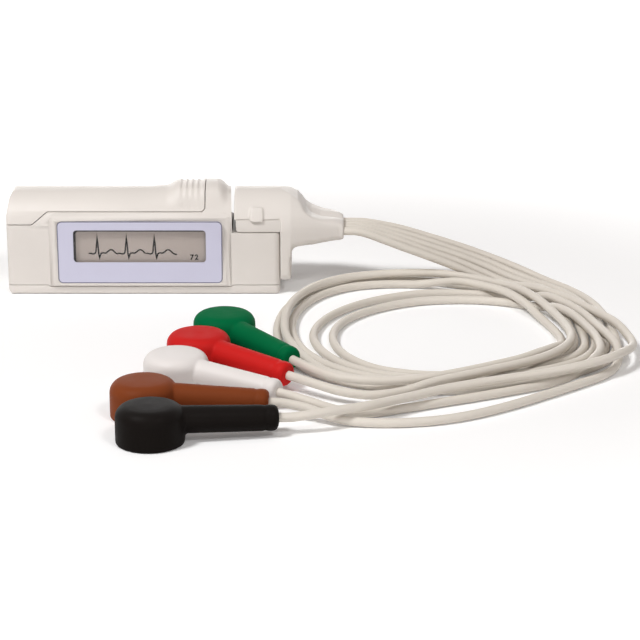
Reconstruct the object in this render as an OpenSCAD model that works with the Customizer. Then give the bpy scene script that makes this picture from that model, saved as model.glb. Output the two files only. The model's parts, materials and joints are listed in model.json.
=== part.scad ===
// Holter monitor: a pocket ECG recorder with a plug-in patient cable of five leads and snaps.
// Millimetres. +X runs along the recorder to its plug, +Y to its back, +Z up.
// The origin is at the middle of the recorder's base.

/* [Recorder] */
// Length of the recorder, end to end
body_l = 64; // [63.5:0.25:68]
// Depth of the housing, front wall to back wall
body_d = 17.9; // [17.7:0.1:18.6]
// Height of the half-round top
crown_z = 23.8; // [23.6:0.1:25]
// Wall thickness of the mouldings
wall = 1.2; // [1:0.05:1.25]
// Rounding of the long lower edges
base_round = 1; // [0.5:0.1:1.6]
// Rounding of the left end, seen from the front
left_round = 1.8; // [1.2:0.1:2.4]
// Rounding of the upright corners, seen from above
plan_round = 1.3; // [0.8:0.1:1.8]
// How far the left end leans in at its top
left_lean = 0.8; // [0:0.1:1]
// Rounding of the upper edges beside the plug, seen from the front
shelf_round = 0.6; // [0.3:0.1:0.9]
// Height of the joint between the housing and the bottom cover
cover_z = 2.4; // [2.2:0.05:2.5]

/* [Connector shelf] */
// Length of the low shelf that carries the plug
shelf_l = 11.2; // [11:0.1:11.6]
// Height of the shelf
shelf_z = 14.9; // [14.5:0.1:15.2]
// Connector opening, along X
port_l = 8; // [7.6:0.1:8.2]
// Connector opening, along Y
port_w = 11.8; // [11.2:0.1:12.4]
// Wall of the sleeve around the connector opening
sleeve_wall = 1; // [0.8:0.1:1.2]
// Depth of the connector opening below the shelf
port_depth = 7.3; // [6.8:0.1:7.6]

/* [Thumb hump] */
// Rise of the hump above the crown
hump_rise = 1.6; // [1.2:0.1:2]
// Squareness of the hump's section
hump_square = 2.6; // [2.2:0.1:3]
// Length of the hump on the door, with its ramp
hump_l = 10; // [9.8:0.1:10.6]
// Length of the hump's ramp on the door
ramp_l = 4; // [3:0.1:4.2]
// Length of the hump's fall towards the plug
fall_l = 3.2; // [2.6:0.1:3.6]
// Number of grip grooves on the door
groove_count = 4; // [3:1:4]
// Distance between grip grooves
groove_pitch = 1.35; // [1.2:0.05:1.4]
// Depth of a grip groove
groove_t = 0.35; // [0.2:0.05:0.45]

/* [Battery door] */
// Length of the housing's closed block beside the door
block_l = 6.3; // [6:0.1:6.6]
// Gap of the seam around the door
seam_gap = 0.2; // [0.15:0.05:0.4]
// Length of the low part of the seam at the left end
low_seam_l = 6; // [5:0.2:7]
// Height step between the low and the high part of the seam
seam_step = 2.85; // [2.6:0.05:3]
// Thickness of a guide rail
rail_t = 0.5; // [0.4:0.05:0.6]
// Depth of a guide rail's hook
hook_w = 0.55; // [0.5:0.05:0.6]

/* [Battery] */
// Diameter of the cell
battery_d = 10.5; // [10.2:0.1:10.6]
// Room for the battery spring, which leaves 43.7 for the cell's can
spring_room = 2.3; // [2:0.1:2.8]
// Diameter of the positive cap
cap_d = 3.8; // [3.4:0.1:4.2]
// Length of the positive cap
cap_l = 0.8; // [0.6:0.1:1]
// Thickness of the cradle under the cell
cradle_t = 1; // [0.8:0.05:1]
// Wire diameter of the battery spring
spring_wire_d = 0.5; // [0.4:0.05:0.6]
// Turns of the battery spring
spring_turns = 3; // [2:1:3]

/* [Display] */
// Width of the raised bezel, over its slopes
bezel_w = 42.6; // [42:0.1:42.7]
// Height of the raised bezel, over its slopes
bezel_h = 17.25; // [17:0.05:17.4]
// How far the bezel stands proud of the front wall
bezel_proud = 0.7; // [0.6:0.05:0.9]
// Width of the slope at each end of the bezel
bezel_slope = 1.2; // [0.8:0.05:1.3]
// Height of the slope along the bezel's top
bezel_top_slope = 1.05; // [0.6:0.05:1.1]
// Bevel along the bezel's foot
bezel_bevel = 0.3; // [0.1:0.05:0.4]
// Width of the bezel's flat border beside the overlay
bezel_border = 0.8; // [0.6:0.05:0.9]
// Width of the tinted overlay
overlay_w = 38.5; // [38:0.1:39]
// Height of the tinted overlay
overlay_h = 14.9; // [14.6:0.1:15.1]
// Thickness of the tinted overlay
overlay_t = 0.3; // [0.2:0.05:0.35]
// Width of the overlay's window
view_w = 31; // [30:0.1:31.4]
// Height of the overlay's window
view_h = 7.8; // [7.4:0.1:8.2]
// Overlap of the clear window behind the overlay
window_lap = 1; // [0.7:0.05:1.1]
// Thickness of the clear window
window_t = 0.8; // [0.6:0.05:0.8]
// Width of the display glass
panel_w = 34; // [33.6:0.1:34.4]
// Height of the display glass
panel_h = 11; // [10.6:0.1:11.1]
// Thickness of the display glass
panel_t = 1.2; // [1:0.05:1.2]
// Thickness of the display carrier
carrier_t = 0.5; // [0.4:0.05:0.5]
// How far the display carrier reaches past the glass
carrier_lip = 0.7; // [0.5:0.05:0.8]
// Inset of the contact strip from the ends of the glass
strip_inset = 2; // [1:0.25:4]

/* [Electronics] */
// Thickness of the main board
board_t = 1; // [0.8:0.1:1]
// Height of the main board's underside
board_z = 4.6; // [4.4:0.1:4.7]
// Web of the board between a screw hole and the edge
board_web = 0.7; // [0.5:0.05:0.9]
// Height of a chip
chip_h = 1.1; // [0.8:0.1:1.4]
// Side of the processor
processor_w = 7; // [6:0.5:8]
// Height of the button switches
switch_h = 4.2; // [4.1:0.05:4.3]

/* [Buttons] */
// Diameter of a button cap
button_d = 4.4; // [4:0.1:4.6]
// How far a cap stands proud of the back wall
button_proud = 0.4; // [0.3:0.05:0.5]
// Travel of a button
button_travel = 0.5; // [0.3:0.05:0.5]
// Distance between the two buttons
button_pitch = 14; // [12:0.5:16]
// Height of the buttons' centre
button_z = 8.6; // [8.5:0.05:8.7]

/* [Screws] */
// Diameter of a screw head
screw_head_d = 2.8; // [2.6:0.1:3]
// Diameter of a screw shank
screw_d = 1.2; // [1:0.1:1.3]
// Length of a screw shank
screw_l = 6; // [5:0.5:6.5]
// Diameter of a screw boss
boss_d = 3.2; // [3:0.1:3.4]

/* [Plug] */
// Length of the plug hood
hood_l = 13.3; // [13.2:0.1:13.8]
// Height of the joint between hood and shroud
hood_z = 18; // [17.8:0.1:18.4]
// Inset of the shroud behind the hood
shroud_inset = 0.25; // [0.15:0.05:0.4]
// Depth of the tongue below the shelf
tongue_l = 5.5; // [5.2:0.1:5.6]
// Thickness of the leg beside the recorder's end
leg_t = 2.5; // [2.2:0.1:2.8]
// Height of the leg's lower end
leg_z = 3.1; // [2.9:0.1:3.6]
// Rounding of the leg's free corners
leg_round = 1; // [0.6:0.1:1.2]
// Drop of the hood's top towards the strain relief
hood_drop = 0.85; // [0.5:0.05:1]
// Thickness of the latch pads
latch_t = 0.5; // [0.4:0.05:0.6]
// Height of the latch pads above the hood's lower edge
latch_h = 2.7; // [2.4:0.1:3.2]
// How far the latch pads hang over the shroud
latch_lap = 0.4; // [0.2:0.1:0.6]
// Length of a connector pin
pin_l = 4; // [3.6:0.1:4.2]
// Diameter of a connector pin
pin_d = 0.64; // [0.6:0.02:0.66]
// Distance between neighbouring pins
pin_pitch = 2; // [1.9:0.05:2.1]
// Pins in each of the two rows
pins_in_row = 5; // [4:1:5]

/* [Strain relief] */
// Length of the strain relief
relief_l = 12.4; // [12:0.2:13]
// Width of the strain relief's end
relief_w = 11.4; // [11:0.1:12]
// Height of the strain relief's end
relief_h = 4.5; // [4.2:0.1:4.8]
// Height of the strain relief's root above the leg's lower end
relief_rise = 6.1; // [5.6:0.1:6.4]
// Height of the leads' row where they leave
exit_z = 14.2; // [14:0.1:14.4]
// Depth of the valley along the top
valley_t = 0.8; // [0.4:0.1:1]
// Width of the valley along the top
valley_w = 5.4; // [4:0.2:6]

/* [Leads] */
// Diameter of a lead
lead_d = 1.9; // [1.7:0.05:2]
// Distance between neighbouring leads where they leave
lead_pitch = 2.2; // [2.15:0.05:2.3]
// Straight run at each end of a lead
lead_straight = 2.5; // [2:0.25:3]

/* [Snaps] */
// Diameter of a snap's head
snap_d = 13.6; // [13:0.1:14]
// Height of a snap's head
snap_h = 7.9; // [7.5:0.1:8.3]
// Rounding of the head's upper edge
snap_round = 2.5; // [1.6:0.1:2.8]
// Fall of the head's domed top towards its rounding
snap_dome = 0.4; // [0.2:0.05:0.6]
// Length from the head's centre to the stem's end
stem_l = 25.1; // [24:0.1:26]
// Fall of the stem's axis from the head's centre to its end
stem_drop = 1; // [0.5:0.1:1.2]
// Diameter of the stem at the head
stem_d = 5.5; // [5.2:0.05:5.5]
// Diameter of the stem at its end
stem_end_d = 5.2; // [5:0.05:5.3]
// Height of the stem's axis at the head's centre
stem_z = 4.55; // [4.4:0.05:4.6]
// Outer diameter of the metal socket's flange
socket_d = 7.6; // [7.2:0.1:8]
// Outer diameter of the metal socket's cup
socket_cup_d = 6; // [5.6:0.1:6.4]
// Height of the metal socket
socket_h = 3.5; // [3.2:0.1:3.8]
// Bore of the metal socket for a 4 mm stud
socket_bore_d = 4.04; // [4:0.02:4.1]
// Depth of the socket's bore
socket_depth = 2.7; // [2.4:0.1:2.8]

/* [Clearances] */
// Gap between parts that slide past each other
slide_gap = 0.1; // [0.08:0.01:0.15]
// Gap around parts that are set into a pocket
seat_gap = 0.05; // [0.03:0.01:0.08]
// Gap of the joint between housing and bottom cover
cover_gap = 0.15; // [0.1:0.01:0.2]
// Gap between the plug and the recorder's shelf and end
plug_gap = 0.2; // [0.15:0.01:0.3]

/* [Hidden] */
$fn = 64;

// Body: ends, middle plane and crown
x_left = -body_l / 2;
x_right = body_l / 2;
x_block = x_right - shelf_l;
x_seam = x_block - block_l;
y_mid = (bezel_proud - button_proud) / 2;
crown_r = body_d / 2;
crown_mid_z = crown_z - crown_r;
y_front = y_mid - crown_r;
y_back = y_mid + crown_r;
y_inner_back = y_back - wall;
far = 60;

// Battery bay
battery_r = battery_d / 2;
cell_gap = 0.3;
door_room = 1.15;
battery_z = crown_z - wall - door_room - battery_r;
cradle_r = battery_r + cell_gap;
cradle_outer_r = cradle_r + cradle_t;
deck_z = battery_z + 0.3;
low_seam_z = deck_z + 0.35;
high_seam_z = low_seam_z + seam_step;
contact_t = 0.3;
contact_pad_l = 1.8;
bulkhead_t = 1;
x_bulkhead = x_left + wall + 0.5;
x_contact = x_block - wall - contact_pad_l - contact_t;
x_can_right = x_contact - cap_l;
x_can_left = x_bulkhead + bulkhead_t + spring_room;
battery_l = x_can_right - x_can_left;
bulkhead_half_w = 5.2;
rail_y = bulkhead_half_w + 0.3;
rail_low_z = low_seam_z + 1.05;
hook_h = 0.55;
rib_z = rail_low_z + hook_h + 0.15;
rib_h = 0.6;
rib_reach = rail_y + rail_t + 0.2;
x_rail = x_left + low_seam_l + 4.5;

// Display
bezel_x = x_left + 10;
bezel_z = cover_z - 0.15;
y_bezel = y_front - bezel_proud;
overlay_x = bezel_x + bezel_slope + bezel_border;
overlay_z = bezel_z + 0.75;
overlay_recess = overlay_t + 0.05;
y_recess = y_bezel + overlay_recess;
view_x = overlay_x + 3.7;
view_z = overlay_z + 5;
y_window_back = y_recess + window_t;
panel_x = view_x - (panel_w - view_w) / 2;
panel_z = view_z + view_h / 2 - panel_h / 2;
y_panel = y_window_back + seat_gap;
y_carrier = y_panel + panel_t;
pocket_margin = 1;
pocket_x = panel_x - pocket_margin;
pocket_w = panel_w + 2 * pocket_margin;
pocket_z = board_z + board_t - 0.1;
pocket_top_z = panel_z + panel_h + 0.5;
y_pocket_back = y_carrier + carrier_t + 0.15;

// Board and buttons
board_top = board_z + board_t;
board_x = x_left + 2;
board_l = body_l - 4;
board_gap = 0.3;
board_front = y_front + wall + board_gap;
board_back = y_inner_back - board_gap;
board_hole_r = boss_d / 2 + 0.15;
memory_x = board_x + 10;
frontend_x = x_block - 11.8;
button_r = button_d / 2;
flange_r = button_r + 0.5;
flange_t = 0.6;
y_flange = y_inner_back - slide_gap - flange_t;
button_x = [-13, button_pitch - 13];
plunger_l = 0.8;
switch_d = 2.4;
y_plunger = y_flange - button_travel - 0.1;

// Screws: places, head seat and boss
screw_xs = [x_left + 4.5, x_block - 1.6];
screw_y = crown_r - wall - board_gap - board_web - board_hole_r;
screw_places = [for (x = screw_xs) for (s = [-1, 1]) [x, y_mid + s * screw_y]];
head_t = 1;
head_seat_z = 1.1;

// Connector
port_x = x_block + 1.6;
port_mid_x = port_x + port_l / 2;
header_top = 9;
row_gap = 3;
pin_places = [for (r = [-1, 1]) for (i = [0:pins_in_row - 1])
    [port_mid_x + r * row_gap / 2, y_mid + (i - (pins_in_row - 1) / 2) * pin_pitch]];
contact_bore_r = pin_d / 2 + 0.08;
contact_r = contact_bore_r + 0.3;
tongue_z = shelf_z - tongue_l;

// Plug
x_leg = x_right + slide_gap;
x_hood = x_leg + leg_t - hood_l;
x_hood_end = x_leg + leg_t;
shroud_z = shelf_z + plug_gap;
x_shroud = x_hood + 0.4;
x_exit = x_hood_end + relief_l;

// Leads: name, exit place in the row, snap's centre, snap's direction, colour of the snap
lead_places = [
    ["white", -2, [11.6, -75], -31.5, "#e8e4e2"],
    ["brown", -1, [6.2, -92.3], -3.8, "#783e23"],
    ["green", 0, [20.5, -47.4], -53, "#00643c"],
    ["red", 1, [15.6, -61.5], -39.8, "#c82828"],
    ["black", 2, [8.5, -107], 9.5, "#23201e"]];
lead_rings = 80;
lead_sides = 8;

// Points that each lead runs through between its straight ends
route_white = [
    [53, -4.4, 13.4], [60, -4, 10.6], [67, -3.3, 7.8], [73, -2.7, 5.3], [79, -2.8, 2.6],
    [84, -4.8, 1.2], [88.5, -8.8, 1], [92.3, -14.2, 1], [95.1, -21.5, 1], [96.7, -30, 1],
    [97.2, -39, 1], [97.2, -46, 1], [96.2, -52, 1], [93.3, -57.2, 1], [88.5, -61.3, 1],
    [82, -65, 1], [74.5, -68.2, 1], [66.5, -70.3, 1], [59.5, -69.2, 1], [53, -65.8, 1],
    [48, -59.5, 1], [45, -51.5, 1], [44.3, -43.5, 1], [45.8, -35.5, 1], [50, -28, 1],
    [56.5, -21.8, 1], [64, -17.8, 1], [71.5, -16.4, 1], [78, -16.6, 1], [84, -18.2, 1],
    [88.5, -20.6, 1], [92.3, -24.4, 1.8], [95.3, -29.5, 3.2], [98.2, -36.5, 3.5],
    [100.2, -44, 3.3], [101.4, -52, 3.4], [101.2, -60, 3.3], [98.8, -66.6, 3.2],
    [95.2, -71, 1.8], [89.5, -75, 1], [82, -79.3, 1], [74, -83.3, 1], [66, -87, 1],
    [58.5, -90.5, 1], [51.5, -93.3, 1.1], [45, -94, 1.9], [39.5, -92.2, 3]];
route_brown = [
    [53, -2.2, 13.6], [60, -1.8, 11.2], [67, -1.1, 8.4], [74, -0.4, 5.7], [80, -0.7, 3.2],
    [85.2, -2.8, 1.4], [90.2, -7, 1], [94.2, -13, 1], [97.4, -20.8, 1], [99, -29.5, 1],
    [99.5, -39, 1], [99.5, -46, 1], [98.5, -52.6, 1], [95.4, -58.6, 1], [90.2, -63.2, 1],
    [83.3, -67.1, 1], [75.4, -70.5, 1], [67, -72.7, 1], [59, -71.8, 1], [51.7, -68.2, 1],
    [45.8, -62.2, 1], [41.8, -54, 1], [40, -45.5, 1], [40.8, -37, 1], [43.8, -29, 1],
    [48.8, -21.8, 1], [55, -16.4, 1], [62, -12.6, 1], [69, -11, 1], [75, -11.4, 1],
    [80.5, -12.6, 1], [85, -14.3, 1], [89.5, -17, 1.8], [93.5, -21, 3.3], [97.3, -27, 3.4],
    [100.4, -34.5, 3.4], [102.5, -43, 3.3], [104.2, -51, 3.4], [105.2, -58, 3],
    [104.2, -64.5, 1.4], [100.8, -70.2, 1], [95, -75.8, 1], [88, -82, 1], [80.5, -88.3, 1],
    [73, -93.6, 1], [66, -97, 1], [59, -98.7, 1], [52, -98.9, 1], [45, -98, 1.5],
    [38.5, -95.4, 2.9]];
route_green = [
    [53, 0, 13.8], [60, 0.4, 11.6], [67, 1, 9.1], [74, 1.7, 6.6], [80.5, 1.7, 4.1],
    [86.4, -0.2, 1.9], [92, -4.8, 1], [96.4, -11.6, 1], [99.7, -20, 1], [101.4, -29.5, 1],
    [101.8, -39, 1], [101.8, -46, 1], [100.7, -53.2, 1], [97.4, -59.9, 1], [91.9, -65, 1],
    [84.5, -69.1, 1], [76.3, -72.7, 1], [67.5, -75, 1], [58.8, -74.3, 1], [50.8, -70.8, 1],
    [43.7, -64.5, 1], [38.8, -56, 1], [36, -46.5, 1], [35.1, -36.5, 1], [36, -27, 1],
    [38.5, -18.5, 1], [42.8, -11.2, 1], [49, -6, 1], [56.5, -3.8, 1], [64, -3.8, 1],
    [70, -6, 2.2], [74.8, -9, 3.2], [79.5, -12.6, 3.3], [84.5, -18, 3.4], [88.3, -24, 2.6],
    [91.2, -31, 1.3], [93.3, -38.5, 1], [94.3, -45, 1], [93.9, -51, 1.4], [92, -56.3, 2.7],
    [88.5, -61.3, 3.3], [83.3, -66.4, 3.3], [77.3, -70.8, 3.4], [71, -74.8, 3.4],
    [64.5, -78.2, 3.4], [57.5, -80.2, 3.3], [50.5, -80, 3.3], [44.5, -77.5, 3.3],
    [39.6, -72.7, 3.4]];
route_red = [
    [53, 2.3, 13.9], [60, 2.7, 12], [67, 3.3, 9.7], [74.2, 3.9, 7.1], [81, 3.9, 4.6],
    [87.4, 1.9, 2.3], [93.6, -3, 1], [98.4, -10.4, 1], [101.9, -19.3, 1], [103.6, -29.5, 1],
    [104.1, -39, 1], [104.1, -46, 1], [103, -53.8, 1], [99.5, -61.1, 1], [93.5, -66.7, 1],
    [85.8, -71.1, 1], [77.2, -74.8, 1], [68, -77.2, 1], [58.7, -76.7, 1], [50, -73.2, 1],
    [42.3, -67, 1], [37.4, -58, 1.6], [34.2, -49, 2.6], [33.6, -40, 3.2], [34.2, -30, 3.2],
    [36.5, -20.5, 3.2], [40.7, -12, 3.2], [47, -6, 3.2], [55, -2.8, 3.2], [63, -1.9, 3.3],
    [70, -2.6, 3.3], [76, -5.8, 3.4], [82, -10.6, 3.5], [87.2, -17, 3.9], [91, -24.8, 3.9],
    [94, -34, 3.3], [95.7, -43, 3.2], [96, -51, 3.3], [94, -58, 3.4], [89.8, -63.8, 3.3],
    [84.3, -68.6, 3.3], [78.2, -72.9, 3.4], [71.8, -77, 3.4], [65, -80.8, 3.3],
    [58.5, -84, 2.4], [52, -86, 2.2], [45.8, -85, 2.6], [40.5, -82, 3.2]];
route_black = [
    [53, 4.5, 14], [60.3, 5.1, 12.4], [67.5, 5.8, 10.1], [75, 6.2, 7.6], [82, 6, 5.1],
    [88.7, 3.9, 2.9], [95.2, -1.1, 1.2], [100.5, -9, 1], [104.2, -18.5, 1], [106, -29.5, 1],
    [106.4, -39, 1], [106.4, -46, 1], [105.2, -54.5, 1], [101.5, -62.4, 1], [95.2, -68.5, 1],
    [87, -73.2, 1], [78, -77.1, 1], [68.5, -79.6, 1], [58.5, -79.2, 1], [49, -75.7, 1],
    [40.8, -69, 1], [35.2, -60, 1], [32.6, -50, 1], [31.9, -40, 1], [32.5, -30, 1],
    [34.6, -20.5, 1], [38.8, -11.8, 1], [45, -5.2, 1], [53, -1.6, 1], [61, -0.8, 1],
    [67.5, -1.5, 1], [73, -3.6, 1], [77.5, -6.2, 1], [82, -8.5, 1.4], [86.3, -10.9, 2.7],
    [90.8, -14.2, 3.4], [95.5, -19.2, 3.4], [99.8, -26, 3.4], [103.5, -34, 3.5],
    [106.8, -41.5, 3.5], [108.7, -49, 2.8], [108.7, -56, 3], [106.4, -62.8, 4],
    [101.8, -68.8, 4.3], [95.4, -73, 4], [88, -76, 3.5], [80.5, -78.9, 3.4], [73, -82.3, 3.4],
    [66, -86, 3.4], [60, -90, 3.4], [54.5, -94, 3.6], [49.5, -97.4, 3.8], [44, -100.1, 3.9],
    [39.5, -101.7, 3.7]];
routes = [route_white, route_brown, route_green, route_red, route_black];

function unit(v) = v / norm(v);
function xy(p) = [p.x, p.y];

// Arc of radius r that rounds the corner v between its neighbours p and q
function corner(p, v, q, r, n) =
    let (a = unit(p - v),
         b = unit(q - v),
         half = acos(a * b) / 2,
         c = v + unit(a + b) * (r / sin(half)),
         s = v + a * (r / tan(half)) - c,
         e = v + b * (r / tan(half)) - c,
         start = atan2(s.y, s.x),
         turn = atan2(s.x * e.y - s.y * e.x, s * e))
    r <= 0 ? [v] : [for (i = [0:n]) c + r * [cos(start + turn * i / n), sin(start + turn * i / n)]];

// Outline whose corners [x, y, r] are rounded with their own radius
function rounded(pts, n = 6) =
    [for (i = [0:len(pts) - 1])
        let (p = pts[(i + len(pts) - 1) % len(pts)], q = pts[(i + 1) % len(pts)])
        each corner(xy(p), xy(pts[i]), xy(q), len(pts[i]) > 2 ? pts[i].z : 0, n)];

// Rectangle outline from a corner, a width and a height, with one corner radius
function box_outline(x, y, w, h, r) =
    rounded([[x, y, r], [x + w, y, r], [x + w, y + h, r], [x, y + h, r]]);

// Outlines in (Y, Z) are pushed along X, in (X, Z) along Y, and in (X, Y) along Z
module along_x(x0, x1) {
    translate([x0, 0, 0])
        rotate([90, 0, 90])
            linear_extrude(x1 - x0) children();
}

module along_y(y0, y1) {
    translate([0, y1, 0])
        rotate([90, 0, 0])
            linear_extrude(y1 - y0) children();
}

module along_z(z0, z1) {
    translate([0, 0, z0])
        linear_extrude(z1 - z0) children();
}

// End view of the body, drawn in by g: upright sides under a half-round top
function section(g) =
    let (r = crown_r - g,
         e = max(base_round - g, 0.2),
         foot = rounded([[-r, g + 3], [-r, g, e], [r, g, e], [r, g + 3]]))
    [for (p = concat(foot, [for (i = [0:48]) [r * cos(180 * i / 48), crown_mid_z + r * sin(180 * i / 48)]]))
        [y_mid + p.x, p.y]];

// Front view of the body, drawn in by g
function side_outline(g) =
    let (e = max(left_round - g, 0.3), f = max(shelf_round - g, 0.2))
    rounded([[x_left + g, g, e], [x_left + g, high_seam_z - 1.2], [x_left + left_lean + g, crown_z - g, e],
             [x_block - g, crown_z - g, f], [x_block - g, shelf_z - g],
             [x_right - g, shelf_z - g, f], [x_right - g, g, max(base_round - g, 0.2)]]);

// Plan of the body, drawn in by g
function plan_outline(g) =
    box_outline(x_left + g, y_front + g, body_l - 2 * g, body_d - 2 * g, max(plan_round - g, 0.2));

module body_form(g) {
    intersection() {
        along_x(x_left, x_right) polygon(section(g));
        along_y(-far, far) polygon(side_outline(g));
        along_z(-1, far) polygon(plan_outline(g));
    }
}

function ease(t) = let (u = max(0, min(1, t))) u * u * (3 - 2 * u);

// Section of the hump: it swells out of the half-round top as k goes from 0 to 1, and g is the
// share of a grip groove's depth
function hump_ring(x, k, g) =
    let (n = 28, first = 8, hidden = crown_r - 0.35, wide = crown_r - 0.15, high = crown_r + hump_rise)
    [for (i = [0:n])
        let (a = first + (180 - 2 * first) * i / n,
             share = pow(abs(cos(a)) / wide, hump_square) + pow(sin(a) / high, hump_square),
             full = pow(share, -1 / hump_square),
             r = hidden + (full - hidden) * k - groove_t * g * ease((sin(a) - 0.35) / 0.4))
        [x, y_mid + r * cos(a), crown_mid_z + r * sin(a)]];

// Stations of the hump: place, share of the rise, share of a groove's depth
hump_stations = concat(
    [for (i = [0:5]) [x_seam - hump_l + ramp_l * i / 5, ease(i / 5), 0]],
    [for (i = [groove_count - 1:-1:0])
        let (x = x_seam - 1.2 - i * groove_pitch)
        each [for (s = [[-0.43, 0], [-0.16, 1], [0.16, 1], [0.43, 0]]) [x + s.x * groove_pitch, 1, s.y]]],
    [for (i = [0:5]) [x_block - 0.2 - fall_l * (1 - i / 5), ease(1 - i / 5), 0]]);

module hump_form() {
    skin([for (s = hump_stations) hump_ring(s.x, s.y, s.z)]);
}

// Side view of the space that belongs to the battery door
module door_region() {
    polygon(rounded([[-far, low_seam_z], [x_left + low_seam_l, low_seam_z, 0.8],
                     [x_left + low_seam_l + 3.6, high_seam_z, 0.8],
                     [x_seam - 0.7, high_seam_z], [x_seam, high_seam_z + 0.7],
                     [x_seam, far], [-far, far]]));
}

// Side view of the space that belongs to the bottom cover; the joint dips under the bezel
module cover_region(lower) {
    dip = cover_z - 0.35;
    polygon([[-far, -far], [far, -far], [far, cover_z - lower],
             [bezel_x + bezel_w + 0.6, cover_z - lower], [bezel_x + bezel_w, dip - lower],
             [bezel_x, dip - lower], [bezel_x - 0.6, cover_z - lower], [-far, cover_z - lower]]);
}

// Platform around the display: a flat border that slopes down to the front wall at its ends
// and runs into the half-round top
module bezel() {
    x1 = bezel_x + bezel_w;
    z1 = bezel_z + bezel_h;
    b = bezel_bevel;
    y1 = y_front + 2.2;
    y_slope = y_front - 0.1;
    intersection() {
        along_x(bezel_x, x1)
            polygon(rounded([[y1, bezel_z], [y_bezel + b, bezel_z], [y_bezel, bezel_z + b, 0.2],
                             [y_bezel, z1 - bezel_top_slope, 0.8], [y_front + 0.8, z1, 0.4], [y1, z1]]));
        along_z(bezel_z, z1)
            polygon(rounded([[bezel_x, y1], [bezel_x, y_slope, 0.1], [bezel_x + bezel_slope, y_bezel, 0.5],
                             [x1 - bezel_slope, y_bezel, 0.5], [x1, y_slope, 0.1], [x1, y1]]));
        along_y(y_bezel, y1)
            polygon(rounded([[bezel_x, bezel_z, 0.5], [x1, bezel_z, 0.5], [x1, z1, 2], [bezel_x, z1, 2]]));
    }
}

// Everything that is cut for the display: recess, window seat and pocket
module display_cuts() {
    s = seat_gap;
    along_y(y_bezel - 1, y_recess)
        polygon(box_outline(overlay_x - s, overlay_z - s, overlay_w + 2 * s, overlay_h + 2 * s, 1.1));
    along_y(y_recess - 0.1, y_window_back + 0.1)
        polygon(box_outline(view_x - window_lap - s, view_z - window_lap - s,
                            view_w + 2 * (window_lap + s), view_h + 2 * (window_lap + s), 0.8));
    along_y(y_window_back, y_pocket_back)
        polygon(box_outline(pocket_x, pocket_z, pocket_w, pocket_top_z - pocket_z, 0.5));
}

// Cradle, bulkhead, partition, screw bosses, rail ribs and connector sleeve
module housing_insides() {
    intersection() {
        body_form(wall / 2);
        union() {
            difference() {
                union() {
                    along_x(x_bulkhead, x_block - wall / 2)
                        intersection() {
                            translate([y_mid, battery_z]) circle(cradle_outer_r);
                            translate([-far, 0]) square([2 * far, deck_z]);
                        }
                    translate([x_bulkhead, -far, deck_z - wall])
                        cube([x_block - x_bulkhead, 2 * far, wall]);
                    translate([x_seam + seam_gap / 2, -far, deck_z - wall])
                        cube([wall, 2 * far, far]);
                }
                translate([x_bulkhead + bulkhead_t, y_mid, battery_z])
                    rotate([0, 90, 0])
                        cylinder(r = cradle_r, h = x_block - x_bulkhead);
            }
            along_x(x_bulkhead, x_bulkhead + bulkhead_t)
                polygon(box_outline(y_mid - bulkhead_half_w, battery_z - 3, 2 * bulkhead_half_w, 7, 0.8));
            translate([x_contact + contact_t, y_mid, battery_z])
                rotate([0, 90, 0])
                    cylinder(r = 3.6, h = contact_pad_l + wall / 2);
            for (s = [-1, 1])
                translate([x_rail - 0.3, s > 0 ? y_mid + rib_reach : -far, rib_z])
                    cube([x_seam + seam_gap / 2 + 0.5 - x_rail, far + s * y_mid - rib_reach, rib_h]);
            for (p = screw_places)
                translate([p.x, p.y, cover_z])
                    screw_boss();
            along_z(shelf_z - port_depth, shelf_z)
                polygon(box_outline(port_x - sleeve_wall, y_mid - port_w / 2 - sleeve_wall,
                                    port_l + 2 * sleeve_wall, port_w + 2 * sleeve_wall, 0.6));
        }
    }
}

// Boss that stands over the board on a shoulder and reaches down through it to the cover
module screw_boss() {
    cylinder(d = boss_d, h = board_top - cover_z + 1);
    translate([0, 0, board_top + seat_gap - cover_z])
        cylinder(d = boss_d + 1, h = battery_z - cradle_r - board_top - cover_z + 1.6 + cradle_r / 2);
}

module main_housing() {
    color("#e1dbd5")
        difference() {
            union() {
                difference() {
                    union() {
                        body_form(0);
                        hump_form();
                        bezel();
                    }
                    body_form(wall);
                }
                housing_insides();
            }
            along_y(-far, far)
                offset(delta = seam_gap / 2) door_region();
            along_y(-far, far)
                cover_region(0);
            display_cuts();
            translate([x_bulkhead + bulkhead_t, y_mid, battery_z])
                rotate([0, 90, 0])
                    cylinder(r = cradle_r, h = x_contact - x_bulkhead - bulkhead_t);
            translate([port_x, y_mid - port_w / 2, 0])
                cube([port_l, port_w, far]);
            for (p = screw_places)
                translate([p.x, p.y, cover_z - 1])
                    cylinder(d = screw_d + 0.06, h = screw_l);
            for (x = button_x)
                translate([x, y_back - 2 * wall, button_z])
                    rotate([-90, 0, 0])
                        cylinder(r = button_r + slide_gap, h = 4 * wall);
        }
}

module bottom_cover() {
    color("#e1dbd5")
        difference() {
            intersection() {
                union() {
                    difference() {
                        body_form(0);
                        body_form(wall);
                    }
                    for (p = screw_places)
                        translate([p.x, p.y, wall / 2])
                            cylinder(d = screw_head_d + 2, h = cover_z);
                }
                along_y(-far, far) cover_region(cover_gap);
            }
            for (p = screw_places)
                translate([p.x, p.y, 0]) {
                    translate([0, 0, -1])
                        cylinder(d = screw_head_d + 0.3, h = 1 + head_seat_z);
                    cylinder(d = screw_d + 0.3, h = far);
                }
        }
}

module battery_door() {
    color("#e4ded8")
        union() {
            intersection() {
                difference() {
                    union() {
                        body_form(0);
                        hump_form();
                    }
                    body_form(wall);
                }
                along_y(-far, far)
                    offset(delta = -seam_gap / 2) door_region();
            }
            for (s = [-1, 1])
                door_rail(s);
        }
}

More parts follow.
